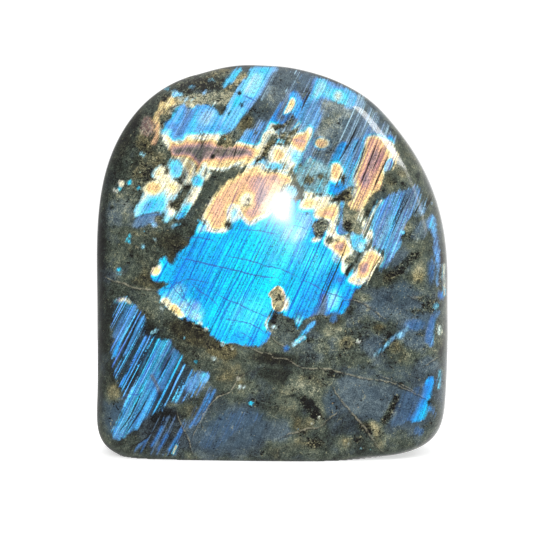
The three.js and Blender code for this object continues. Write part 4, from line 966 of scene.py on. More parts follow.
# Seams, branches, cracks, hairlines and clefts.
LINES = [
    *lines(LineKind.SEAM, (0.5, (-61, 63.8), (-58.8, 62.6), (-56.5, 61.8), (-53, 61), (-51, 59.8),
        (-48.5, 59.2), (-45, 59), (-41.5, 58.3)), (0.45, (-13, 38.3), (-9, 37.8), (-3.5, 35.8), (-0.5, 35.3),
        (1, 33.8), (4.5, 33.8), (7.5, 32.3), (9.5, 30.8), (12, 30.1), (20.5, 30), (23, 29.1), (33, 26.6),
        (38, 26), (44, 24.7), (47, 23.3), (55.5, 19.3)), (0.4, (-8.5, 28.5), (-12.5, 26), (-14.3, 22.8),
        (-16.2, 21), (-20, 19.3), (-23.6, 15.5), (-28, 7), (-29, 4.2)), (0.4, (27, 55.2), (30.5, 54.8),
        (33, 54), (37.8, 50.8), (40.2, 48.6))),
    *lines(LineKind.BRANCH, (0.4, (39.5, 27.3), (45.5, 25), (52, 21.5)), (0.5, (-34.8, 15), (-34, 11),
        (-31, 5.3), (-30, 2.5), (-29.6, 0), (-28.3, -2.2)), (0.6, (22.3, 23), (24, 20), (30.5, 12),
        (33, 9.3), (39, 0.7), (40.5, -0.8)), (0.6, (3, 4.6), (6, 6), (10, 6.9), (13, 8), (17, 8.3), (20, 11),
        (24, 14.3)), (0.35, (-0.6, 42.3), (0.8, 40.5), (3, 38.9), (5, 38)), (0.3, (55.5, 31), (60.3, 34.3)),
        (0.25, (50, 56.4), (52.6, 55)), (0.25, (51.6, 57), (53, 55.8), (54.8, 56.6))),
    *lines(LineKind.CRACK, (0.55, (-34, 70.7), (-30, 69.8), (-24, 68.3), (-18, 66.9), (-11, 65.3),
        (-5, 63.8), (3, 63.2)), (0.45, (-17, 71.3), (-12.5, 70.3), (-9, 69.7), (-4, 68), (-2.3, 67.3),
        (1.9, 66.7), (5, 65.5), (10, 63)), (0.4, (10, 63), (15, 60.6), (20, 57.8), (24, 56.4), (28, 55.2)),
        (0.35, (-30, 77.8), (-25, 77.5), (-21, 76.6)), (0.35, (-12, 80.7), (-5, 80.2), (0, 79.3), (3, 78.8)),
        (0.4, (-21.6, 58.7), (-17, 55.5), (-13, 54), (-7, 51), (-0.5, 48.4)), (0.35, (-18.6, 48.4),
        (-12, 47.3), (-8, 46.4), (-5, 44.8), (-2, 42.8), (0, 42.2)), (0.35, (-30, 61.8), (-26.5, 58.6),
        (-24.6, 57.3), (-21, 54.5), (-19, 51.5)), (0.35, (-41, 58.3), (-36, 60), (-33, 62), (-29, 62.5),
        (-22, 61)), (0.3, (-12, 43.5), (-9, 42), (-6.5, 39.8)), (0.4, (-10.8, 128.9), (-8, 127.8),
        (-5.8, 126.6)), (0.35, (-38, 62.5), (-34.5, 58), (-31, 54.5), (-28, 51.5)), (0.35, (-34.5, 62.5),
        (-32, 57), (-30.5, 52.5)), (0.3, (-55, 19.3), (-51.5, 20.4), (-48.5, 20.6), (-46, 22.3),
        (-43.5, 23.5))),
    *lines(LineKind.HAIR, (0.6, (-22.3, 44.5), (-19, 50.5), (-16.8, 55), (-14, 60.5), (-11.3, 65.5),
        (-9.8, 69.5)), (0.4, (-12, 53), (-9, 59), (-6.5, 63), (-3.5, 68.7), (0, 76), (2, 80)),
        (0.4, (-32, 57), (-28, 68), (-24.6, 75.3), (-20.5, 84)), (0.35, (-26, 50), (-22, 59), (-18, 67)),
        (0.35, (-9, 41), (-5.5, 48), (-3, 53)), (0.4, (3.5, 62), (6, 67), (8.5, 72.5), (11.3, 79)),
        (0.35, (10, 62), (13, 69), (16.5, 77)), (0.35, (-16, 62), (-12, 71), (-8, 80)), (0.35, (5, 49.5),
        (10, 60), (13, 66)), (0.3, (-24, 88), (-20, 96)), (0.35, (-17, 84), (-12, 96.5)),
        (0.35, (-8.5, 83.5), (-5, 91), (-3, 97))),
    *lines(LineKind.CLEFT, (0.6, (27.4, 76.5), (26, 73), (24.8, 70), (22.5, 64.5), (20.5, 60), (18, 53.8),
        (16.8, 51.5)), (0.35, (23, 70.5), (21, 65.5), (18.5, 59.5), (16, 53)), (0.5, (26, 56), (24.8, 53),
        (23.5, 50)), (0.7, (13.7, 130.5), (11.8, 127), (10.3, 123.5)), (0.8, (30.5, 118), (28, 112.5),
        (26.3, 109.5), (24, 105.2)), (0.6, (31.2, 113), (30, 110.5), (28.8, 108)), (0.6, (33.8, 111.5),
        (32.2, 107), (31, 103.5), (29, 98.5)), (0.6, (38, 113), (36.7, 109.5), (34.8, 104.5), (33, 100),
        (31.5, 96)), (0.6, (41.8, 107.3), (39.7, 102.8), (37.8, 98.5), (36, 94)), (0.45, (39.8, 111),
        (37.3, 105), (35.5, 101)), (0.5, (50.3, 94.5), (47.5, 89), (45, 83.5), (42.5, 77.5)),
        (0.4, (48.5, 94), (46, 88.5), (43, 82)), (0.5, (53.2, 90), (51, 85.8)), (0.5, (57.5, 92.5),
        (55.5, 88.2)), (0.4, (39.3, 71.5), (37, 67.5), (35.5, 65)), (0.5, (-12.6, 111), (-14, 106.5)),
        (0.6, (-48, 49.5), (-51.5, 41.5), (-55, 33.5)), (0.6, (-42.3, 39.5), (-46.5, 31), (-50.5, 23)),
        (0.6, (-36.3, 36), (-39, 30.5), (-41.5, 26)), (0.5, (-34.8, 27.5), (-38, 19.5), (-41, 15)),
        (0.5, (-45.5, 19), (-48.5, 13.5), (-53.5, 6)), (0.6, (-47.5, 21.5), (-51.5, 13), (-56, 6.5)),
        (0.6, (-48.5, 30), (-52.5, 22.5)), (0.4, (-40.5, 10), (-46.5, 4), (-52.5, 0.5))),
]


def grain_mark(x: float, z: float, size: float, tone: float) -> Mark:
    """A small single grain: a black pit if its tone is below 0, or else a spot of flash."""
    spot = Oval(x, z, size, size)
    return rock(spot, -1.0) if tone < 0 else flash(spot, tone, 0.4, fray=0.6, ragged=0.4, mottle=0.3)


# The guessed back: one dim streaky zone with a brighter heart, two narrower ones, and plain rock.
BACK_MARKS = [
    *grounds(8, (10, 40, 40, 22, 20, -0.1, -0.8, 0.45), (-30, 100, 18, 25, 0, -0.3, 0.5, 0),
        (35, 95, 16, 20, 0, 0.3, 0.2, 0), (-20, 30, 14, 10, 30, 0.25, 0.3, 0)),
    *grounds(2.5, (24, 112, 7, 4, -30, 0.5, 0.4, 0), (-46, 70, 6, 9, 0, 0.4, 0.2, 0),
        (8, 58, 9, 3, 20, -0.6, 0.6, 0), (48, 30, 5, 8, 0, 0.3, 0.5, 0), (-8, 12, 8, 4, 10, 0.4, 0.6, 0),
        (20, 76, 5, 4, 0, 0.35, 0.1, 0)),
    cloud(Outline((-50, 60), (-30, 52), (0, 60), (12, 72), (0, 66), (-30, 60), (-48, 70)), 3, pits=1,
        light=-0.3),
    flash(Outline((-38, 62), (-31, 84), (-22, 100), (-10, 114), (4, 122), (12, 118), (6, 102), (8, 92),
        (14, 82), (4, 68), (-8, 60), (-24, 56)), 10.2, 3, strength=0.6, fray=3, comb=0.9, pale=0.45,
        mottle=1.8),
    flash(Outline((-30, 72), (-26, 84), (-19, 95), (-12, 104), (-5, 108), (-6, 98), (-10, 90), (-2, 91),
        (1, 84), (-6, 80), (-14, 76), (-17, 68), (-25, 66)), 8.4, 1.5, fray=2.2, ragged=1, comb=0.5,
        pale=0.25, mottle=1.6, strength=0.9),
    tint(Streak(2, (-26, 82), (-20, 92), (-13, 102)), 5.4, 2, mottle=2),
    tint(Oval(-4, 86, 3, 2, 30), 5.6, 2, mottle=2),
    flash(Outline((24, 38), (28, 50), (35, 62), (42, 70), (44, 66), (40, 54), (34, 42), (29, 34)), 9.6, 2,
        comb=0.9, fray=2.4, pale=0.4, mottle=1.8, strength=0.7),
    flash(Outline((-50, 14), (-46, 28), (-39, 42), (-33, 44), (-35, 33), (-42, 18)), 9.5, 2, comb=0.95,
        fray=2.4, pale=0.3, mottle=1.6, strength=0.8),
    flash(Oval(14, 20, 12, 4, 60), 9.8, 2, strength=0.4, comb=0.6, fray=2.5),
    rock(Streak(2.2, (-20, 76), (-12, 84), (-8, 88), (-2, 94)), 0, 0.4, pits=1),
    rock(Streak(1.6, (28, 60), (33, 54), (36, 46)), -0.3, 0.5, pits=1),
]

BACK_LINES = [
    *lines(LineKind.SEAM, (0.45, (-60, 58), (-46, 61), (-36, 58), (-22, 54), (-10, 57), (-4, 55), (6, 53),
        (16, 48), (28, 44), (38, 38), (58, 36)), (0.4, (-30, 4), (-22, 14), (-18, 24), (-14, 40), (-9, 52))),
    *lines(LineKind.BRANCH, (0.4, (-20, 128), (-15, 118), (-6, 108), (0, 100), (4, 88), (12, 76), (22, 60))),
    *lines(LineKind.CLEFT, (0.7, (26, 40), (33, 54), (41, 68)), (0.5, (-48, 22), (-42, 34), (-35, 45))),
    *lines(LineKind.CRACK, (0.4, (-32, 80), (-20, 82), (-6, 79), (4, 80))),
]

GRAIN_MARKS = [grain_mark(*row) for row in GRAINS]
FRONT_MARKS = GROUND + RIGHT + BARS + GREAT_PATCH + UPPER_RIGHT + UPPER_LEFT + CUTS + GRAIN_MARKS
FRONT = Pattern(FRONT_MARKS, LINES)
BACK = Pattern(BACK_MARKS, BACK_LINES)


# ---- the stone's shape -------------------------------------------------------------------------


@dataclass(frozen=True)
class Flat:
    """A soft flat (negative) or swell of the rim, a bell curve round its own place."""

    at: float
    spread: float
    height: float

    def rise(self, degrees: Array) -> Array:
        """How far the flat moves the rim at some angles, in degrees."""
        gap = (degrees - self.at + 180.0) % 360.0 - 180.0
        return self.height * np.exp(-((gap / self.spread) ** 2))


@dataclass(frozen=True)
class StoneShape:
    """The stone's surface, with the solid's own sizes, in millimetres.

    The rim is a rounded square with an arch on top; a profile runs from each face over to the rim.
    """

    half_width: float = 63.4
    crest: float = 139.4
    middle: float = 62.0
    sawn_off: float = 2.4
    front_depth: float = 27.0
    back_depth: float = 24.0
    taper: float = 0.32
    lean: float = 2.0
    wander: float = 1.6
    wander_start: float = 0.6
    arch_right: float = 2.0
    arch_left: float = 2.74
    foot_left: float = 8.6
    foot_right: float = 4.8
    front_rounding: float = 3.2
    back_rounding: float = 2.8
    foot_rounding: float = 6.0
    saw_edge: float = 0.3
    flats: tuple[Flat, ...] = (
        Flat(30, 16, 0.5), Flat(61, 8, 0.5), Flat(80, 7, -0.4), Flat(98, 6, 0.5),
        Flat(109, 4, -0.3), Flat(146, 22, 0.5), Flat(221, 6, 1.3), Flat(298, 8, -1.6),
        Flat(318, 8, 2.2),
    )

    def rim_radius(self, angle: Array) -> Array:
        """How far the rim is from its middle: a superellipse of its own power in each quarter.

        Args:
            angle: Directions from +X towards +Z, in radians.

        Returns:
            The distances, with the flats added.
        """
        across, up = np.cos(angle), np.sin(angle)
        is_right, is_up = across >= 0, up >= 0
        half_height = np.where(is_up, self.crest - self.middle, self.middle + self.sawn_off)
        arch = np.where(is_right, self.arch_right, self.arch_left)
        foot = np.where(is_right, self.foot_right, self.foot_left)
        power = np.where(is_up, arch, foot)
        total = np.abs(across / self.half_width) ** power + np.abs(up / half_height) ** power
        flats = sum(flat.rise(np.degrees(angle)) for flat in self.flats)
        return total ** (-1.0 / power) + flats

    def other_share(self, share: Array, angle: Array, is_front: Array) -> Array:
        """The unit superellipse of the profile, which turns either share into the other.

        Args:
            share: The share of the way out to the rim, or the share of the full depth.
            angle: Directions round the rim, in radians.
            is_front: Whether each point is on the front.

        Returns:
            The other share, (1 - share^power)^(1/power).
        """
        power = np.where(is_front, self.front_rounding, self.back_rounding)
        downward = np.maximum(-np.sin(angle), 0.0) ** 2
        power = power + (self.foot_rounding - power) * downward
        return np.maximum(1.0 - share**power, 0.0) ** (1.0 / power)

    def rim_depth(self, angle: Array, outward: Array, height: Array) -> Array:
        """Where the rim's plane is from front to back: its lean and its wander."""
        stray = self.wander * np.sin(2.0 * angle + self.wander_start)
        return self.lean * height + stray * outward**2

    def surface(self, outward: Array, angle: Array, stand: Array) -> Array:
        """Places points on the stone before it is centred.

        Args:
            outward: The share of the way from the middle out to the rim.
            angle: The direction round the rim, in radians.
            stand: The share of the depth, negative in front and positive behind.

        Returns:
            The points, one row each. Below the base they are pressed flat onto it, over a small
            soft edge.
        """
        radius = outward * self.rim_radius(angle)
        x = radius * np.cos(angle)
        z = self.middle + radius * np.sin(angle)
        height = z / self.crest
        depth = np.where(stand < 0, self.front_depth, self.back_depth) * (1 - self.taper * height)
        y = stand * depth + self.rim_depth(angle, outward, height)
        edge = self.saw_edge
        z = np.where(z < edge, np.maximum(z + edge, 0.0) ** 2 / (4.0 * edge), z)
        return np.column_stack([x, y, z])


@dataclass(frozen=True)
class Skin:
    """A closed grid over the stone: a square cap on each face and a band of rows between them.

    A cap's square is bent onto a disc ring by ring, so that the band has as many columns as the
    square has edges. The front is twice as fine as the back, and one row of the band joins them.
    """

    cap_edges: int = 232
    fine_rows: int = 11
    coarse_rows: int = 36
    cap_share: float = 0.9
    turn_share: float = 0.8

    @staticmethod
    def square(edges: int) -> tuple[Array, Array]:
        """Bends a square grid onto the unit disc.

        Args:
            edges: The number of cells along each side.

        Returns:
            The share of the radius and the angle of every grid point.
        """
        u, v = np.meshgrid(*[np.linspace(-1.0, 1.0, edges + 1)] * 2, indexing="ij")
        u, v = u.ravel(), v.ravel()
        outward = np.maximum(np.abs(u), np.abs(v))
        safe = np.where(outward == 0, 1.0, outward)
        sideways = np.abs(u) >= np.abs(v)
        flat_turn = math.pi / 4 * v / np.where(sideways, np.where(u == 0, safe, u), 1.0)
        tall_turn = math.pi / 4 * u / np.where(sideways, 1.0, np.where(v == 0, safe, v))
        on_sides = flat_turn + np.where(u < 0, math.pi, 0.0)
        on_ends = math.pi / 2 - tall_turn + np.where(v < 0, math.pi, 0.0)
        return outward, np.where(sideways, on_sides, on_ends)

    @staticmethod
    def square_ring(edges: int) -> Array:
        """The numbers of the points on the edge of a square grid, anticlockwise from below right."""
        number = np.arange((edges + 1) ** 2).reshape(edges + 1, edges + 1)
        right, top = number[-1, :-1], number[:0:-1, -1]
        left, bottom = number[0, :0:-1], number[:-1, 0]
        return np.concatenate([right, top, left, bottom])

    @staticmethod
    def square_faces(edges: int) -> Array:
        """The cells of a square grid, four corners each, anticlockwise as seen from the front."""
        number = np.arange((edges + 1) ** 2).reshape(edges + 1, edges + 1)
        corners = [number[:-1, :-1], number[1:, :-1], number[1:, 1:], number[:-1, 1:]]
        return np.stack(corners, axis=-1).reshape(-1, 4)

    def rows(self, shape: StoneShape, turns: Array, angle: Array) -> tuple[Array, Array, Array]:
        """Places rows of the band.

        The share of the depth goes as the sine of an even turn, from the edge of one cap through
        the rim to the edge of the other.

        Args:
            shape: The stone's shape.
            turns: How far each row is from the rim, from -1 at the front cap to 1 at the back one.
            angle: The direction of each column, in radians.

        Returns:
            The outward share, the angle and the share of the depth of each point, row by row.
        """
        turn, bearing = np.meshgrid(turns, angle, indexing="ij")
        is_front = turn < 0
        limit = shape.other_share(np.full(turn.shape, self.cap_share), bearing, is_front)
        wide = math.asin(self.turn_share)
        stand = limit * np.sin(turn * wide) / self.turn_share
        outward = shape.other_share(np.abs(stand), bearing, is_front)
        return outward.ravel(), bearing.ravel(), stand.ravel()

    def build(self, shape: StoneShape) -> tuple[Array, list[list[int]], Array]:
        """Makes the grid.

        Args:
            shape: The stone's shape.

        Returns:
            The points, the faces, and for each point its outward share, angle and depth share.
        """
        fine, coarse = self.cap_edges, self.cap_edges // 2
        columns = 4 * fine
        angle = -math.pi / 4 + np.arange(columns) * 2.0 * math.pi / columns
        turns = np.linspace(-1.0, 1.0, self.fine_rows + self.coarse_rows + 1)

        out_front, angle_front = self.square(fine)
        out_back, angle_back = self.square(coarse)
        out_front, out_back = out_front * self.cap_share, out_back * self.cap_share
        front = np.full(len(out_front), True)
        back = np.full(len(out_back), False)
        parts = [
            (out_front, angle_front, -shape.other_share(out_front, angle_front, front)),
            self.rows(shape, turns[1 : self.fine_rows + 1], angle),
            self.rows(shape, turns[self.fine_rows + 1 : -1], angle[::2]),
            (out_back, angle_back, shape.other_share(out_back, angle_back, back)),
        ]
        outward, bearing, stand = (np.concatenate(values) for values in zip(*parts))

        first = len(out_front)
        fine_ids = first + np.arange(self.fine_rows * columns).reshape(-1, columns)
        fine_ids = np.vstack([self.square_ring(fine), fine_ids])
        first = fine_ids.max() + 1
        half = columns // 2
        coarse_ids = first + np.arange((self.coarse_rows - 1) * half).reshape(-1, half)
        first = coarse_ids.max() + 1
        coarse_ids = np.vstack([coarse_ids, first + self.square_ring(coarse)])

        faces = self.square_faces(fine).tolist()
        faces += self.strips(fine_ids).tolist()
        faces += self.join(fine_ids[-1], coarse_ids[0]).tolist()
        faces += self.strips(coarse_ids).tolist()
        faces += (first + self.square_faces(coarse)[:, ::-1]).tolist()
        return shape.surface(outward, bearing, stand), faces, np.stack([outward, bearing, stand])

    @staticmethod
    def strips(rows: Array) -> Array:
        """The cells between closed rows of points, four corners each, facing outwards."""
        after = np.roll(rows, -1, axis=1)
        corners = [rows[:-1], rows[1:], after[1:], after[:-1]]
        return np.stack(corners, axis=-1).reshape(-1, 4)

    @staticmethod
    def join(fine: Array, coarse: Array) -> Array:
        """The triangles between a closed row and the next one with half as many points."""
        f0, f1, f2 = fine[::2], fine[1::2], np.roll(fine[::2], -1)
        c0, c1 = coarse, np.roll(coarse, -1)
        return np.vstack([np.stack(t, axis=-1) for t in ((f0, c0, f1), (f1, c0, c1), (f1, c1, f2))])


@dataclass(frozen=True)
class Chip:
    """A place where the edge broke: a ball's surface, hollowed into the stone."""

    x: float
    y: float
    z: float
    radius: float


@dataclass(frozen=True)
class Viewpoint:
    """The eye: how far it is from the stone, which way it looks and what it aims at."""

    distance: float = 600.0
    elevation: float = 5.0
    aim: Point = (-2.1, -2.6)
    view_width: float = 192.75
    sensor: float = 36.0

    def target(self) -> Vector:
        """The point that the eye looks at, from the middle of the solid's box, in metres."""
        low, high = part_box("stone")
        return (low + high) / 2 + Vector((self.aim[0], 0.0, self.aim[1])) * MM

    def forwards(self) -> Vector:
        """The direction in which the eye looks."""
        tilt = math.radians(self.elevation)
        return Vector((0.0, math.cos(tilt), -math.sin(tilt)))

    def eye(self) -> Vector:
        """The eye's place, in metres."""
        return self.target() - self.forwards() * self.distance * MM

    def lens(self) -> float:
        """The focal length that shows the view's width at the stone's distance."""
        return self.sensor * self.distance / self.view_width


@dataclass
class Stone:
    """The polished stone: its skin, its pattern and its finish.

    Once it is built it keeps its points, in millimetres, and the surface's direction at each.
    """

    name: str = "polished_stone"
    shape: StoneShape = field(default_factory=StoneShape)
    skin: Skin = field(default_factory=Skin)
    view: Viewpoint = field(default_factory=Viewpoint)
    waves: int = 14
    wave_height: float = 0.035
    wave_lengths: Point = (18.0, 45.0)
    seed: int = 7
    mirror_points: int = 60
    side_start: float = 1.0
    side_end: float = 6.0
    side_loss: float = 3.0
    chips: tuple[Chip, ...] = (
        Chip(-59.6, -8.5, -1.2, 2.6), Chip(-50.5, -21.5, -1.3, 1.9), Chip(-17.0, -22.3, -1.5, 2.0),
        Chip(24.5, -21.8, -1.2, 1.7), Chip(40.5, -14.5, -1.6, 2.4), Chip(-35.2, 0.0, 135.8, 2.5),
        Chip(-30.8, 3.0, 137.4, 3.2), Chip(-30.0, -2.0, 137.0, 2.6), Chip(-26.5, -4.5, 138.0, 2.2),
        Chip(-21.5, 3.0, 141.3, 2.8), Chip(-22.5, -3.0, 140.0, 2.3), Chip(-16.5, -3.5, 141.6, 2.2),
        Chip(-12.0, 2.0, 143.0, 2.8), Chip(-12.0, 20.5, -1.4, 2.2), Chip(20.0, 19.5, -1.3, 1.9),
    )
    points: Array = field(init=False, repr=False)
    directions: Array = field(init=False, repr=False)

    def fitted(self, points: Array) -> Array:
        """Moves and stretches points so that their box is the solid's box, in millimetres."""
        low, high = (np.array(corner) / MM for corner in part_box("stone"))
        own_low, own_high = points.min(axis=0), points.max(axis=0)
        return low + (points - own_low) * (high - low) / (own_high - own_low)

    @staticmethod
    def normals(points: Array, faces: list[list[int]]) -> Array:
        """The surface's direction at each point: the sum of its faces' own, made a unit long."""
        threes = np.array([f[:3] for f in faces])
        a, b, c = (points[threes[:, i]] for i in range(3))
        own = np.cross(b - a, c - a)
        total = np.zeros_like(points)
        for column in range(3):
            np.add.at(total, threes[:, column], own)
        return total / np.maximum(np.linalg.norm(total, axis=1, keepdims=True), 1e-9)

    def waviness(self, points: Array) -> Array:
        """Hand polishing: the sum of a few cosine waves in seeded directions, in millimetres."""
        random = np.random.default_rng(self.seed)
        heading = random.normal(size=(self.waves, 3))
        heading /= np.linalg.norm(heading, axis=1, keepdims=True)
        length = random.uniform(*self.wave_lengths, self.waves)
        phase = random.uniform(0.0, 2.0 * math.pi, self.waves)
        turns = points @ (heading * (2.0 * math.pi / length)[:, None]).T + phase
        return self.wave_height * np.cos(turns).sum(axis=1) / math.sqrt(self.waves / 2)

    def chipped(self, points: Array) -> tuple[Array, Array]:
        """Hollows the chips: a point inside a chip's ball moves out to the ball's surface.

        Args:
            points: The points, one row each.

        Returns:
            The moved points, and for each how broken its surface is, from 0 to 1.
        """
        broken = np.zeros(len(points))
        for chip in self.chips:
            away = points - np.array([chip.x, chip.y, chip.z])
            distance = np.linalg.norm(away, axis=1)
            inside = distance < chip.radius
            broken[inside] = 1.0
            points[inside] += away[inside] * (chip.radius / distance[inside] - 1.0)[:, None]
        return points, broken

    def plane_place(self, points: Array) -> tuple[Array, Array]:
        """Carries points to the rim's plane, along lines that meet at the eye's place.

        The markings of the polished face run into the stone along those lines.

        Args:
            points: The points, one row each, in millimetres.

        Returns:
            Their places across and up the plane y = 0.
        """
        eye = np.array(self.view.eye()) / MM
        share = eye[1] / (eye[1] - points[:, 1])
        carried = eye + (points - eye) * share[:, None]
        return carried[:, 0], carried[:, 2]

    def attributes(self, points: Array, grid: Array) -> dict[str, Array]:
        """Works out every field of the pattern.

        The polished face's pattern goes a little way round the rim, and the back's own takes over.

        Args:
            points: The finished points, in millimetres.
            grid: The outward share, the angle and the depth share of each point.

        Returns:
            Each attribute's name, with one number or three for each point.
        """
        outward, angle, _ = grid
        behind = points[:, 1] - self.shape.rim_depth(angle, outward, points[:, 2] / self.shape.crest)
        front_x, front_z = self.plane_place(points)
        front, back = FRONT.paint(front_x, front_z), BACK.paint(points[:, 0], points[:, 2])
        over = smooth(behind, self.side_start, self.side_end)
        fields = {name: front[name] + (back[name] - front[name]) * over for name in BARE}
        fields["flash"] = np.maximum(
            front["flash"] - self.side_loss * np.maximum(behind - self.side_start, 0.0),
            back["flash"] - self.side_loss * np.maximum(self.side_end - behind, 0.0),
        )
        front_lines = FRONT.draw(front_x, front_z)
        back_lines = BACK.draw(points[:, 0], points[:, 2])
        is_back = (behind > self.side_end)[:, None]
        for kind in LineKind:
            fields[kind.value] = np.where(is_back, back_lines[kind], front_lines[kind])
        return fields

    def mirror(self, place: Point) -> tuple[Vector, Vector]:
        """Finds where a place on the polished face mirrors the eye's view.

        Args:
            place: Across and up the rim's plane, in millimetres.

        Returns:
            The point of the surface, in metres, and the direction of its reflection.
        """
        x, z = self.plane_place(self.points)
        reach = np.hypot(x - place[0], z - place[1]) + FAR * (self.points[:, 1] > 0)
        near = np.argsort(reach)[: self.mirror_points]
        normal = Vector(self.directions[near].mean(axis=0)).normalized()
        spot = Vector(self.points[near].mean(axis=0)) * MM
        return spot, (spot - self.view.eye()).normalized().reflect(normal)

    def build(self) -> bpy.types.Object:
        """Makes the mesh and hands it to the frame.

        Returns:
            The stone's object, at the origin, with its place in its mesh.
        """
        points, faces, grid = self.skin.build(self.shape)
        points = self.fitted(points)
        points += self.normals(points, faces) * self.waviness(points)[:, None]
        points, broken = self.chipped(points)
        points[:, 2] = np.where(points[:, 2] < self.shape.saw_edge, 0.0, points[:, 2])
        self.points, self.directions = points, self.normals(points, faces)
        mesh = bpy.data.meshes.new(self.name)
        mesh.from_pydata((points * MM).tolist(), [], faces)
        mesh.shade_smooth()
        for name, values in {**self.attributes(points, grid), "broken": broken}.items():
            flat = values.ndim == 1
            kind = "FLOAT" if flat else "FLOAT_VECTOR"
            kept = mesh.attributes.new(name, kind, "POINT")
            kept.data.foreach_set("value" if flat else "vector", values.astype(np.float32).ravel())
        mesh.materials.append(LabradoriteFinish().build())
        stone = placed(self.name, mesh)
        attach(stone, "root")
        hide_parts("stone")
        log.info("%s: %d points, %d faces", self.name, len(points), len(faces))
        return stone


# ---- shaders -----------------------------------------------------------------------------------


class Value:
    """A number, vector or colour that varies over a surface: one output of a shader node.

    Arithmetic on values adds the nodes that work it out: Math for numbers, Vector Math for the rest.
    """

    def __init__(self, shader: "Shader", socket: bpy.types.NodeSocket) -> None:
        """Keeps the tree that the socket is in, and the socket."""
        self.shader = shader
        self.socket = socket
        self.is_number = socket.type == "VALUE"

    def combine(self, operation: str, first: Any, second: Any) -> "Value":
        """One node that combines two values, numbers or colours, as its operation says."""
        if self.shader.all_numbers(first, second):
            return self.shader.node("ShaderNodeMath", {"operation": operation}, {0: first, 1: second})
        inputs = {0: self.shader.three(first), 1: self.shader.three(second)}
        return self.shader.node("ShaderNodeVectorMath", {"operation": operation}, inputs)

    def __add__(self, other: Any) -> "Value":
        """The sum."""
        return self.combine("ADD", self, other)

    def __radd__(self, other: Any) -> "Value":
        """The sum, with the number first."""
        return self.combine("ADD", other, self)

    def __sub__(self, other: Any) -> "Value":
        """The difference."""
        return self.combine("SUBTRACT", self, other)

    def __rsub__(self, other: Any) -> "Value":
        """The difference, with the number first."""
        return self.combine("SUBTRACT", other, self)

    def __mul__(self, other: Any) -> "Value":
        """The product."""
        return self.combine("MULTIPLY", self, other)

    def __rmul__(self, other: Any) -> "Value":
        """The product, with the number first."""
        return self.combine("MULTIPLY", other, self)

    def __truediv__(self, other: Any) -> "Value":
        """The quotient."""
        return self.combine("DIVIDE", self, other)

    def __abs__(self) -> "Value":
        """The number without its sign."""
        return self.shader.node("ShaderNodeMath", {"operation": "ABSOLUTE"}, {0: self})

    def at_most(self, other: Any) -> "Value":
        """The smaller of two numbers."""
        return self.combine("MINIMUM", self, other)

    def at_least(self, other: Any) -> "Value":
        """The larger of two numbers."""
        return self.combine("MAXIMUM", self, other)

    def step(self, low: float, high: float) -> "Value":
        """A smooth step from 0 at low to 1 at high; low may be the larger one."""
        settings = {"interpolation_type": "SMOOTHSTEP"}
        if low < high:
            return self.shader.node("ShaderNodeMapRange", settings, {0: self, 1: low, 2: high})
        inputs = {0: self, 1: high, 2: low, 3: 1.0, 4: 0.0}
        return self.shader.node("ShaderNodeMapRange", settings, inputs)


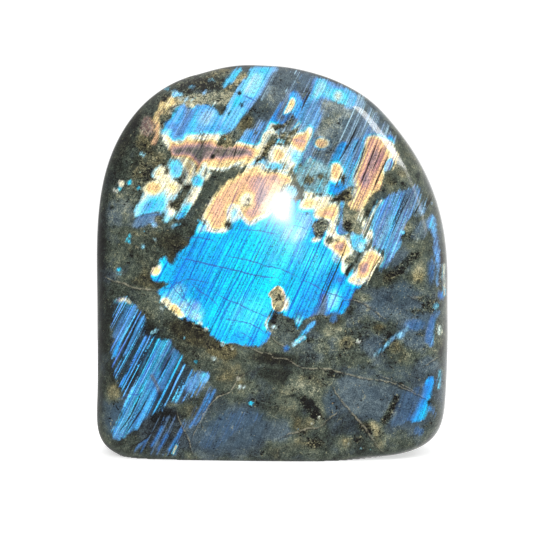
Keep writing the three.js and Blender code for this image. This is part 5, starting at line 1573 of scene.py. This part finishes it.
class Shader:
    """One node tree, the noises that its pattern is made of, and the one method that adds nodes."""

    def __init__(self, tree: bpy.types.NodeTree) -> None:
        """Empties the tree."""
        self.tree = tree
        tree.nodes.clear()

    def node(
        self,
        kind: str,
        settings: dict[str, Any] | None = None,
        inputs: dict[int | str, Any] | None = None,
        output: int | str = 0,
    ) -> Value:
        """Adds a node.

        Args:
            kind: The node's type.
            settings: What is set on the node itself, before its sockets. A ramp's "stops" are
                (place, colour) pairs.
            inputs: The values or numbers of its sockets, by number or name.
            output: The output that the value stands for.

        Returns:
            The node's output.
        """
        made = self.tree.nodes.new(kind)
        for name, setting in (settings or {}).items():
            if name == "stops":
                self.set_stops(made.color_ramp, setting)
            else:
                setattr(made, name, setting)
        for name, value in (inputs or {}).items():
            if isinstance(value, Value):
                self.tree.links.new(value.socket, made.inputs[name])
            else:
                made.inputs[name].default_value = value
        return Value(self, made.outputs[output]) if len(made.outputs) else Value(self, made.inputs[0])

    @staticmethod
    def all_numbers(*values: Any) -> bool:
        """Whether every value is a number, rather than a vector or a colour."""
        return all(v.is_number if isinstance(v, Value) else not isinstance(v, tuple) for v in values)

    @staticmethod
    def three(value: Any) -> Any:
        """A number or a colour as three numbers; a value stays as it is."""
        if isinstance(value, tuple):
            return value[:3]
        return (value,) * 3 if isinstance(value, (int, float)) else value

    @staticmethod
    def set_stops(ramp: bpy.types.ColorRamp, stops: Stops) -> None:
        """Gives a ramp its stops."""
        for place, colour in stops[1:-1]:
            ramp.elements.new(place).color = colour
        ramp.elements[0].position, ramp.elements[-1].position = stops[0][0], stops[-1][0]
        ramp.elements[0].color, ramp.elements[-1].color = stops[0][1], stops[-1][1]

    def field(self, name: str, output: str = "Fac") -> Value:
        """A field of the pattern, from the mesh."""
        return self.node("ShaderNodeAttribute", {"attribute_name": name}, output=output)

    def parts(self, vector: Value) -> tuple[Value, Value, Value]:
        """The three numbers of a vector."""
        first = self.node("ShaderNodeSeparateXYZ", {}, {0: vector})
        outputs = first.socket.node.outputs
        return first, Value(self, outputs[1]), Value(self, outputs[2])

    def join(self, x: Any, y: Any, z: Any) -> Value:
        """A vector of three numbers."""
        return self.node("ShaderNodeCombineXYZ", {}, {0: x, 1: y, 2: z})

    def noise(self, place: Value, size: float, detail: float = 2.0, warp: float = 0.0) -> Value:
        """Smooth noise, from about -1 to 1 with its middle at 0.

        Args:
            place: Where each point is, in millimetres.
            size: The size of the noise's lumps, in millimetres.
            detail: How many finer noises are added.
            warp: How much the noise bends itself.

        Returns:
            The noise.
        """
        inputs = {"Vector": place, "Scale": 1.0 / size, "Detail": detail, "Distortion": warp}
        return self.node("ShaderNodeTexNoise", {}, inputs) * 4.0 - 2.0

    def cells(self, place: Value, size: float) -> tuple[Value, Value, Value]:
        """Scattered cells.

        Args:
            place: Where each point is, in millimetres.
            size: The distance between cells, in millimetres.

        Returns:
            The distance from the cell's middle in millimetres, and two random numbers for each cell.
        """
        inputs = {"Vector": place, "Scale": 1.0 / size}
        gap = self.node("ShaderNodeTexVoronoi", {}, inputs)
        chance, kind, _ = self.parts(Value(self, gap.socket.node.outputs["Color"]))
        return gap * size, chance, kind

    def rules(self, across: Value, spacing: float) -> tuple[Value, Value]:
        """Parallel lines at uneven distances.

        Args:
            across: Where each point is across the lines, in millimetres.
            spacing: The mean distance between two lines, in millimetres.

        Returns:
            The distance from the nearest line in millimetres, and a random number for each line.
        """
        settings = {"voronoi_dimensions": "1D"}
        gap = self.node("ShaderNodeTexVoronoi", settings, {"W": across, "Scale": 1.0 / spacing})
        chance, _, _ = self.parts(Value(self, gap.socket.node.outputs["Color"]))
        return gap * spacing, chance

    def blend(self, share: Any, first: Any, second: Any) -> Value:
        """The first colour where the share is 0, the second where it is 1."""
        inputs = {0: share, 6: first, 7: second}
        return self.node("ShaderNodeMix", {"data_type": "RGBA"}, inputs, output=2)

    def ramp(self, share: Value, stops: Stops) -> Value:
        """A colour ramp."""
        return self.node("ShaderNodeValToRGB", {"stops": stops}, {0: share})

    def millimetres(self) -> Value:
        """Where each point is on its own object, in millimetres."""
        return self.node("ShaderNodeTexCoord", {}, {}, "Object") * (1.0 / MM)

    def surface(self, inputs: dict[str, Any]) -> None:
        """Ends a material with a shader of these inputs."""
        shader = self.node("ShaderNodeBsdfPrincipled", {}, inputs)
        self.node("ShaderNodeOutputMaterial", {}, {"Surface": shader})


@dataclass(frozen=True)
class Grain:
    """The places and noises that every part of the labradorite's pattern is broken up with."""

    place: Value
    across: Value
    up: Value
    lumps: Value
    knots: Value
    crumbs: Value
    dust: Value
    mottled: Value
    wide: Value
    thin: Value
    streak: Value
    pits: Value


@dataclass(frozen=True)
class LineLook:
    """How one kind of line looks: its colour, how much that covers and how far the line strays.

    A seam has painted shade along one side and is broken in places. A line that tints darkens the flash
    under it.
    """

    colour: Colour
    share: float
    bend: float
    is_seam: bool = False
    tints: bool = False


@dataclass(frozen=True)
class LabradoriteFinish:
    """Polished labradorite: dark feldspar with a fan of fine lamellae that flash in bright colours."""

    name: str = "labradorite"
    # the colours of the tones, in order, and of the rock from dark to light
    flash_colours: Stops = even_stops(*(tone.value for tone in Tone))
    cool_rock: Stops = even_stops((8, 9, 7), (36, 41, 34), (68, 78, 68), (112, 120, 102), (190, 188, 160))
    warm_rock: Stops = even_stops((10, 9, 6), (38, 36, 24), (76, 74, 52), (126, 118, 82), (200, 188, 142))
    blue_rock: Stops = even_stops((9, 11, 12), (38, 46, 52), (70, 84, 92), (108, 124, 128), (180, 190, 180))
    glitter_colours: Stops = (
        (0.0, linear(176, 160, 112)),
        (0.35, linear(226, 216, 172)),
        (0.5, linear(120, 200, 190)),
        (0.75, linear(60, 150, 190)),
        (1.0, linear(160, 132, 84)),
    )
    haze_colour: Colour = linear(60, 86, 106)
    grit_colour: Colour = linear(164, 162, 128)
    speck_rim: Colour = linear(34, 30, 18)
    speck_colour: Colour = linear(9, 8, 6)
    pale_colour: Colour = linear(182, 220, 236)
    seam_colour: Colour = linear(160, 156, 134)
    cleft_colour: Colour = linear(22, 20, 16)
    broken_colour: Colour = linear(104, 104, 92)
    hair_tint: Colour = (0.28, 0.2, 0.6, 1.0)
    line_looks: tuple[tuple[LineKind, LineLook], ...] = (
        (LineKind.SEAM, LineLook(seam_colour, 0.8, 0.3, is_seam=True)),
        (LineKind.BRANCH, LineLook(seam_colour, 0.65, 0.25, is_seam=True)),
        (LineKind.CRACK, LineLook(linear(52, 72, 160), 0.75, 0.2)),
        (LineKind.CLEFT, LineLook(cleft_colour, 0.92, 0.08)),
        (LineKind.HAIR, LineLook(hair_tint, 0.85, 0.08, tints=True)),
    )
    # sizes in millimetres: the noises, the streaks' widths and lengths, the spacings of the dark
    # gaps, of the lines across the lamellae, of the grains of glitter and of the round pits
    lump_size: float = 6.0
    knot_size: float = 1.7
    crumb_size: float = 0.5
    dust_size: float = 0.3
    streak_sizes: tuple[Point, ...] = ((4.5, 60.0), (1.4, 34.0), (0.5, 14.0))
    gap_spacings: Point = (2.8, 1.1)
    crossing_spacing: float = 3.2
    glitter_spacing: float = 1.5
    pit_spacing: float = 3.1
    # the fine dark lines along the lamellae: how far apart, how wide and how dark each set is
    hair_sets: tuple[tuple[float, float, float], ...] = (
        (3.4, 0.42, 1.0),
        (1.7, 0.34, 0.85),
        (0.8, 0.26, 0.6),
    )
    # how much further along the tones warm flash is at its rim
    rim_rise: float = 1.8
    # the lamellae's lean, how fast they fan out with height, and the height where that starts
    fan_lean: float = 0.466
    fan_spread: float = -0.0016
    fan_middle: float = 62.0
    # a factor that carries each line's own random number far away in a noise
    scatter: float = 90.0
    polish: float = 0.34
    gloss_index: float = 1.56
    gloss_roughness: float = 0.07
    body_shine: float = 0.15
    relief: float = 0.35
    relief_depth: float = 0.00012
    # how strongly the flash sends out its own colour as a faint painted glow
    flash_painted_glow: float = 0.14

    def grain(self, s: Shader) -> Grain:
        """Works out the places and the noises.

        The lamellae lean to the right and fan out. Each keeps one number across: the place where
        it passes the height of the fan's middle.

        Args:
            s: The material's tree.

        Returns:
            The places, in millimetres, and the noises.
        """
        place = s.millimetres()
        x, y, up = s.parts(place)
        rise = up - self.fan_middle
        across = (x - rise * self.fan_lean) / (rise * self.fan_spread + 1.0)
        along = s.join(0.0, y * 0.3, up)
        wide, mid, thin = (
            s.noise(s.join(across * (1.0 / width), 0.0, 0.0) + along * (1.0 / length), 1.0, 1.0)
            for width, length in self.streak_sizes
        )
        return Grain(
            place=place,
            across=across,
            up=up,
            lumps=s.noise(place, self.lump_size, 3.0),
            knots=s.noise(place, self.knot_size, 3.0),
            crumbs=s.noise(place, self.crumb_size),
            dust=s.noise(place, self.dust_size, 0.0),
            mottled=s.noise(place * (1.0, 1.0, 1.3), 2.6, 3.0, 0.7),
            wide=wide,
            thin=thin,
            streak=wide * 0.35 + mid * 0.5 + thin * 0.35,
            pits=s.field("pits"),
        )

    def gaps(self, s: Shader, g: Grain) -> Value:
        """How dark the gaps are that comb through the flash along the lamellae, from 0 to 1."""
        bent = g.across + g.lumps * 0.04 + g.knots * 0.03
        (_, broad), (split, fine) = (s.rules(bent, spacing) for spacing in self.gap_spacings)
        runs = s.noise(s.join(broad * self.scatter + fine * 30.0, 0.0, g.up * 0.07), 1.0, 1.0)
        bars = (broad * 0.4 + fine * 0.6 + runs * 0.25 + g.crumbs * 0.06).step(0.54, 0.44)
        return bars.at_least((split + runs * 0.1).step(0.31, 0.19) * 0.95)

    def mask(self, s: Shader, g: Grain) -> Value:
        """How much the flash shows: its edge broken by lumps, frayed by streaks, combed by gaps."""
        broken = (g.lumps * 0.5 + g.knots * 0.9 + g.crumbs * 0.4) * s.field("ragged")
        edge = (s.field("flash").at_most(4.0) + broken + g.streak * s.field("fray")).step(-0.6, 0.8)
        return edge * s.field("strength") * (1.0 - self.gaps(s, g) * s.field("comb"))

    def hairs(self, s: Shader, g: Grain) -> Value:
        """Draws the fine dark lines in the flash.

        Args:
            s: The material's tree.
            g: The places and the noises.

        Returns:
            How dark it is with wrinkles, lines across the lamellae and lines along them, 0 to 1.
        """
        wrinkle = abs(s.noise(g.place, 2.0, 1.0, 1.5)).step(0.2, 0.02)
        wrinkle = wrinkle * (g.lumps * 0.5 + g.pits * 0.5 + 0.4)
        level = g.up + g.across * 0.22 + g.lumps * 0.7 + g.knots * 0.2
        gap, chance = s.rules(level, self.crossing_spacing)
        crossing = s.noise(s.join(g.across * 0.14, chance * self.scatter, 0.0), 1.0, 1.0)
        dark = wrinkle.at_least(gap.step(0.26, 0.08) * (crossing + g.lumps * 0.3).step(0.1, 0.5) * 0.6)
        for spacing, width, share in self.hair_sets:
            gap, chance = s.rules(g.across + g.crumbs * 0.05 + g.lumps * 0.05, spacing)
            runs = s.noise(s.join(chance * self.scatter, 0.0, g.up * 0.05), 1.0, 1.0) * 0.5
            shown = (chance + runs + g.wide * 0.15).step(0.3, 0.65) * share
            dark = dark.at_least(gap.step(width, width * 0.4) * shown)
        return dark.at_most(0.95) * s.field("lined")

    def flash(self, s: Shader, g: Grain) -> Value:
        """Works out the colour of the flash.

        Args:
            s: The material's tree.
            g: The places and the noises.

        Returns:
            Its tone's colour, lighter at the rim of warm flash, with pale streaks and dark hairs.
        """
        wander = g.lumps * 0.3 + g.knots * 0.15 + g.streak * 0.4 + g.crumbs * 0.1
        tone = s.field("tone") + wander * s.field("mottle")
        rim = (s.field("flash") + g.lumps * 0.4).step(2.4, 0.2) * tone.step(5.0, 4.0) * s.field("edged")
        tone = tone + rim * self.rim_rise
        colour = s.ramp(tone * (1.0 / (len(Tone) - 1)), self.flash_colours)
        pale = (s.field("pale") * (1.0 + g.streak * 1.2)).at_least(0.0) * tone.step(5.0, 6.5)
        colour = s.blend(pale.at_most(1.0), colour, self.pale_colour)
        colour = s.blend(self.hairs(s, g), colour, colour * self.hair_tint)
        return colour * (1.0 + g.crumbs * 0.36 + g.dust * 0.3 + g.thin * 0.36 + g.knots * 0.12)

    def rock(self, s: Shader, g: Grain) -> Value:
        """Works out the colour of the rock.

        Args:
            s: The material's tree.
            g: The places and the noises.

        Returns:
            Mottled rock, hazed with blue, with black pits, pale grit, creases and glitter.
        """
        cloudy, veined = s.noise(g.place, 10.0, 4.0, 0.8), s.noise(g.place, 7.0, 5.0, 1.5)
        level = s.field("light") * 0.36 + cloudy * 0.18 + veined * 0.08 + g.mottled * 0.1
        level = level + (g.knots * 0.08 + g.crumbs * 0.13) * (g.pits * 2.0 + 1.0)
        level = level + g.thin * 0.06 + g.dust * 0.14 + 0.48
        warm = s.field("warm") + s.noise(g.place, 12.0, 4.0, 0.5) * 0.9 + g.knots * 0.2 - 0.15
        colour = s.ramp(level, self.cool_rock)
        colour = s.blend(warm.step(-0.2, 1.0), colour, s.ramp(level, self.warm_rock))
        colour = s.blend(warm.step(-0.2, -1.2), colour, s.ramp(level, self.blue_rock))
        hazy = (s.field("haze") * (0.7 + g.streak * 0.4) + g.lumps * 0.1 - 0.02).at_least(0.0)
        haze = self.haze_colour * (1.0 + g.knots * 0.2 + g.crumbs * 0.15)
        colour = s.blend(hazy.at_most(0.85), colour, haze)
        pitted = g.pits * 0.45 + (g.lumps * 0.5 - cloudy * 0.4).at_least(0.0) + warm * 0.05
        squat = s.noise(g.place * (1.0, 1.0, 1.5), 1.2, 2.0, 0.8) - pitted
        colour = s.blend(squat.step(-0.5, -0.85) * 0.45, colour, self.speck_rim)
        colour = s.blend(squat.step(-0.8, -0.92) * 0.95, colour, self.speck_colour)
        grit = s.noise(g.place, 0.8, 1.0, 0.5) + veined * 0.3 + level * 0.5 + g.pits * 0.2
        colour = s.blend(grit.step(1.08, 1.28) * 0.5, colour, self.grit_colour)
        creases = abs(veined).step(0.07, 0.02) * g.lumps.step(-0.2, 0.8)
        colour = s.blend(creases * 0.6, colour, self.cleft_colour)
        gap, chance, kind = s.cells(g.place, self.glitter_spacing)
        sown = (chance + s.field("glitter") * 0.16).step(0.985, 1.0) * gap.step(0.36, 0.2) * 0.8
        return s.blend(sown, colour, s.ramp(kind, self.glitter_colours))

    def line(
        self, s: Shader, g: Grain, kind: LineKind, look: LineLook, colour: Value, mask: Value
    ) -> tuple[Value, Value]:
        """Draws the lines of one kind over a colour.

        Args:
            s: The material's tree.
            g: The places and the noises.
            kind: The kind of line.
            look: How it looks.
            colour: The colour so far.
            mask: How much the flash shows.

        Returns:
            The colour with the lines on it, and how much they cover.
        """
        side, distance, width = s.parts(s.field(kind.value, "Vector"))
        side = side + g.knots * look.bend + g.crumbs * look.bend * 0.5
        near, half = distance.step(1.6, 0.9), width * (0.5 + g.knots * 0.25)
        over = (abs(side) - half).step(0.15, -0.15) * near
        if look.is_seam:
            # painted shade: a dark line along one side of the seam
            shade = (abs(side + 0.35) - half - g.knots * 0.3).step(0.35, -0.15) * near
            colour = s.blend(shade * 0.55, colour, self.cleft_colour)
            over = over * (0.5 + g.mottled * 0.7 + g.crumbs * 0.5)
        over = over.at_least(0.0).at_most(1.0)
        if look.tints:
            return s.blend(over * mask * look.share, colour, colour * look.colour), over
        return s.blend(over * look.share, colour, look.colour), over

    def build(self) -> bpy.types.Material:
        """Makes the material: the flash over the rock, pits, lines, chips, polish, and a faint painted glow
        of the flash.

        Returns:
            The material.
        """
        material = bpy.data.materials.new(self.name)
        material.use_nodes = True
        s = Shader(material.node_tree)
        g = self.grain(s)
        mask = self.mask(s, g)
        colour = s.blend(mask, self.rock(s, g), self.flash(s, g))

        gap, chance, _ = s.cells(g.place, self.pit_spacing)
        holes = chance.step(0.86, 0.9) * (gap + g.crumbs * 0.15).step(0.5, 0.28) * (1.0 - mask * 0.9)
        colour = s.blend(holes * 0.8, colour, self.cleft_colour)
        shown: dict[LineKind, Value] = {}
        for kind, look in self.line_looks:
            colour, shown[kind] = self.line(s, g, kind, look, colour, mask)

        broken, sawn = s.field("broken"), g.up.step(0.12, 0.02)
        colour = s.blend(broken * (0.6 + g.knots * 0.3), colour, self.broken_colour)
        hollow = holes + shown[LineKind.CLEFT] * 0.5 + shown[LineKind.SEAM] * 0.3
        height = g.crumbs * (0.05 + broken * 0.8 + sawn * 0.5) + g.knots * (broken + sawn * 0.4) - hollow
        relief = {"Strength": self.relief, "Distance": self.relief_depth, "Height": height}
        s.surface({
            "Base Color": colour,
            "Roughness": (self.polish + sawn * 0.4 + broken * 0.4 + hollow * 0.3).at_most(1.0),
            "Specular IOR Level": self.body_shine,
            "Coat Weight": (1.0 - sawn - broken * 0.8 - hollow * 0.4).at_least(0.0),
            "Coat Roughness": self.gloss_roughness,
            "Coat IOR": self.gloss_index,
            "Normal": s.node("ShaderNodeBump", {}, relief),
            # painted glow: the flash's own colour is sent out as light, standing in for the brightness of
            # its sheen
            "Emission Color": s.blend(mask, (0.0, 0.0, 0.0, 1.0), colour),
            "Emission Strength": self.flash_painted_glow,
        })
        return material


@dataclass(frozen=True)
class FloorFinish:
    """A pale matte floor with a very faint mottle."""

    name: str = "pale_floor"
    light_grey: Colour = (0.86, 0.86, 0.86, 1.0)
    white: Colour = (0.93, 0.93, 0.93, 1.0)
    mottle: float = 120.0
    roughness: float = 0.8
    glow: float = 0.6

    def build(self) -> bpy.types.Material:
        """Makes the material.

        Returns:
            The material.
        """
        material = bpy.data.materials.new(self.name)
        material.use_nodes = True
        s = Shader(material.node_tree)
        share = s.noise(s.millimetres(), self.mottle, 3.0) * 0.3 + 0.5
        s.surface({
            "Base Color": s.blend(share, self.light_grey, self.white),
            "Roughness": self.roughness,
            "Emission Color": self.white,
            "Emission Strength": self.glow,
        })
        return material


# ---- the studio --------------------------------------------------------------------------------


@dataclass(frozen=True)
class Lamp:
    """A soft light: where it is from the stone, in degrees and metres, its size and brightness.

    The bearing is 0 in front of the stone and 90 on its right. A lamp that isn't mirrored lights
    the stone but doesn't show in its polish.
    """

    name: str
    bearing: float
    elevation: float
    distance: float
    size: Point
    radiance: float
    mirrored: bool = True
    turn: float = 0.0

    def build(self, middle: Vector) -> None:
        """Makes the light where its bearing and elevation say."""
        around, up = math.radians(self.bearing), math.radians(self.elevation)
        side, front = math.sin(around) * math.cos(up), math.cos(around) * math.cos(up)
        self.place(middle, Vector((side, -front, math.sin(up))))

    def place(self, spot: Vector, heading: Vector) -> None:
        """Makes the light, facing a spot; its power is pi times its radiance times its area.

        Args:
            spot: The point that the light faces, in metres.
            heading: The direction of the light from that point.
        """
        light = bpy.data.lights.new(self.name, "AREA")
        light.shape = "RECTANGLE"
        light.size, light.size_y = self.size
        light.energy = math.pi * self.radiance * self.size[0] * self.size[1]
        lamp = placed(self.name, light)
        lamp.location = spot + heading * self.distance
        lamp.rotation_mode = "QUATERNION"
        spin = Quaternion((0.0, 0.0, 1.0), math.radians(self.turn))
        lamp.rotation_quaternion = heading.to_track_quat("Z", "Y") @ spin
        lamp.visible_glossy = self.mirrored
        lamp.visible_camera = False


@dataclass(frozen=True)
class Studio:
    """The pale floor, the soft lights and the camera."""

    view: Viewpoint = field(default_factory=Viewpoint)
    floor_radius: float = 0.32
    floor_cells: int = 24
    glare_at: Point = (3.6, 89.5)
    window_turn: float = -20.0
    window_distance: float = 1.2
    # the window's glare, in nested panes: their width and height, in metres, and their radiance
    windows: tuple[tuple[float, float, float], ...] = (
        (0.027, 0.062, 45.0),
        (0.060, 0.105, 8.0),
        (0.120, 0.160, 2.4),
    )
    lamps: tuple[Lamp, ...] = (
        Lamp("soft_front", -12.0, 38.0, 1.6, (1.4, 1.0), 3.2, mirrored=False),
        Lamp("strip_right", 64.0, 40.0, 1.2, (0.26, 0.5), 8.5),
        Lamp("strip_right_low", 67.0, 21.0, 1.2, (0.12, 0.4), 2.4),
        Lamp("soft_back", 180.0, 45.0, 1.6, (1.2, 1.0), 2.0, mirrored=False),
    )

    def floor(self) -> bpy.types.Object:
        """Makes the floor: a flat disc of rings of cells at the height of the stone's base.

        Returns:
            The floor's object.
        """
        outward, angle = Skin.square(self.floor_cells)
        x, y = (self.floor_radius * outward * turn(angle) for turn in (np.cos, np.sin))
        points = np.column_stack([x, y, np.full(len(x), CAD_BOX[0].z)])
        mesh = bpy.data.meshes.new("floor")
        mesh.from_pydata(points.tolist(), [], Skin.square_faces(self.floor_cells).tolist())
        mesh.materials.append(FloorFinish().build())
        floor = placed("floor", mesh)
        floor.visible_glossy = False
        return floor

    def world(self) -> None:
        """Makes the surroundings: white to the camera, and to the stone dim in front, light behind."""
        world = bpy.data.worlds.new("studio")
        bpy.context.scene.world = world
        world.use_nodes = True
        s = Shader(world.node_tree)
        heading = s.node("ShaderNodeTexCoord", {}, {}, "Generated")
        right, back, up = s.parts(heading)
        side = (right * 0.75 + back * 0.6).step(0.35, 0.98) * 0.75
        rear = back.step(0.82, 1.0) * 0.35
        glow = (side + rear) * up.step(0.75, 0.1) + up.step(0.3, 1.0) * 0.35 + 0.2
        seen = s.node("ShaderNodeLightPath", {}, {}, "Is Camera Ray")
        strength = glow + seen * (1.1 - glow)
        surface = s.node("ShaderNodeBackground", {}, {0: (1.0, 1.0, 1.0, 1.0), 1: strength})
        s.node("ShaderNodeOutputWorld", {}, {"Surface": surface})

    def camera(self) -> None:
        """Makes the camera, at the eye's place."""
        data = bpy.data.cameras.new("camera")
        data.sensor_width = self.view.sensor
        data.lens = self.view.lens()
        camera = placed("camera", data)
        camera.location = self.view.eye()
        camera.rotation_mode = "QUATERNION"
        camera.rotation_quaternion = self.view.forwards().to_track_quat("-Z", "Y")
        bpy.context.scene.camera = camera

    def build(self, stone: Stone) -> None:
        """Makes the floor, the lights, the surroundings and the camera.

        Args:
            stone: The finished stone, in whose polish the window is seen.
        """
        self.floor()
        middle = (CAD_BOX[0] + CAD_BOX[1]) / 2
        for lamp in self.lamps:
            lamp.build(middle)
        spot, heading = stone.mirror(self.glare_at)
        for count, (wide, high, radiance) in enumerate(self.windows):
            size, away = (wide, high), self.window_distance
            window = Lamp(f"window_{count}", 0.0, 0.0, away, size, radiance, turn=self.window_turn)
            window.place(spot, heading)
        self.world()
        self.camera()
        bpy.context.scene.view_settings.view_transform = "Standard"
        log.info("studio: %d lamps", len(self.lamps) + len(self.windows))


def main() -> None:
    """Builds the stone and the studio, and notes the sizes."""
    logging.basicConfig(level=logging.INFO, format="%(name)s: %(message)s")
    stone = Stone()
    stone.build()
    Studio().build(stone)


if __name__ == "__main__":
    main()
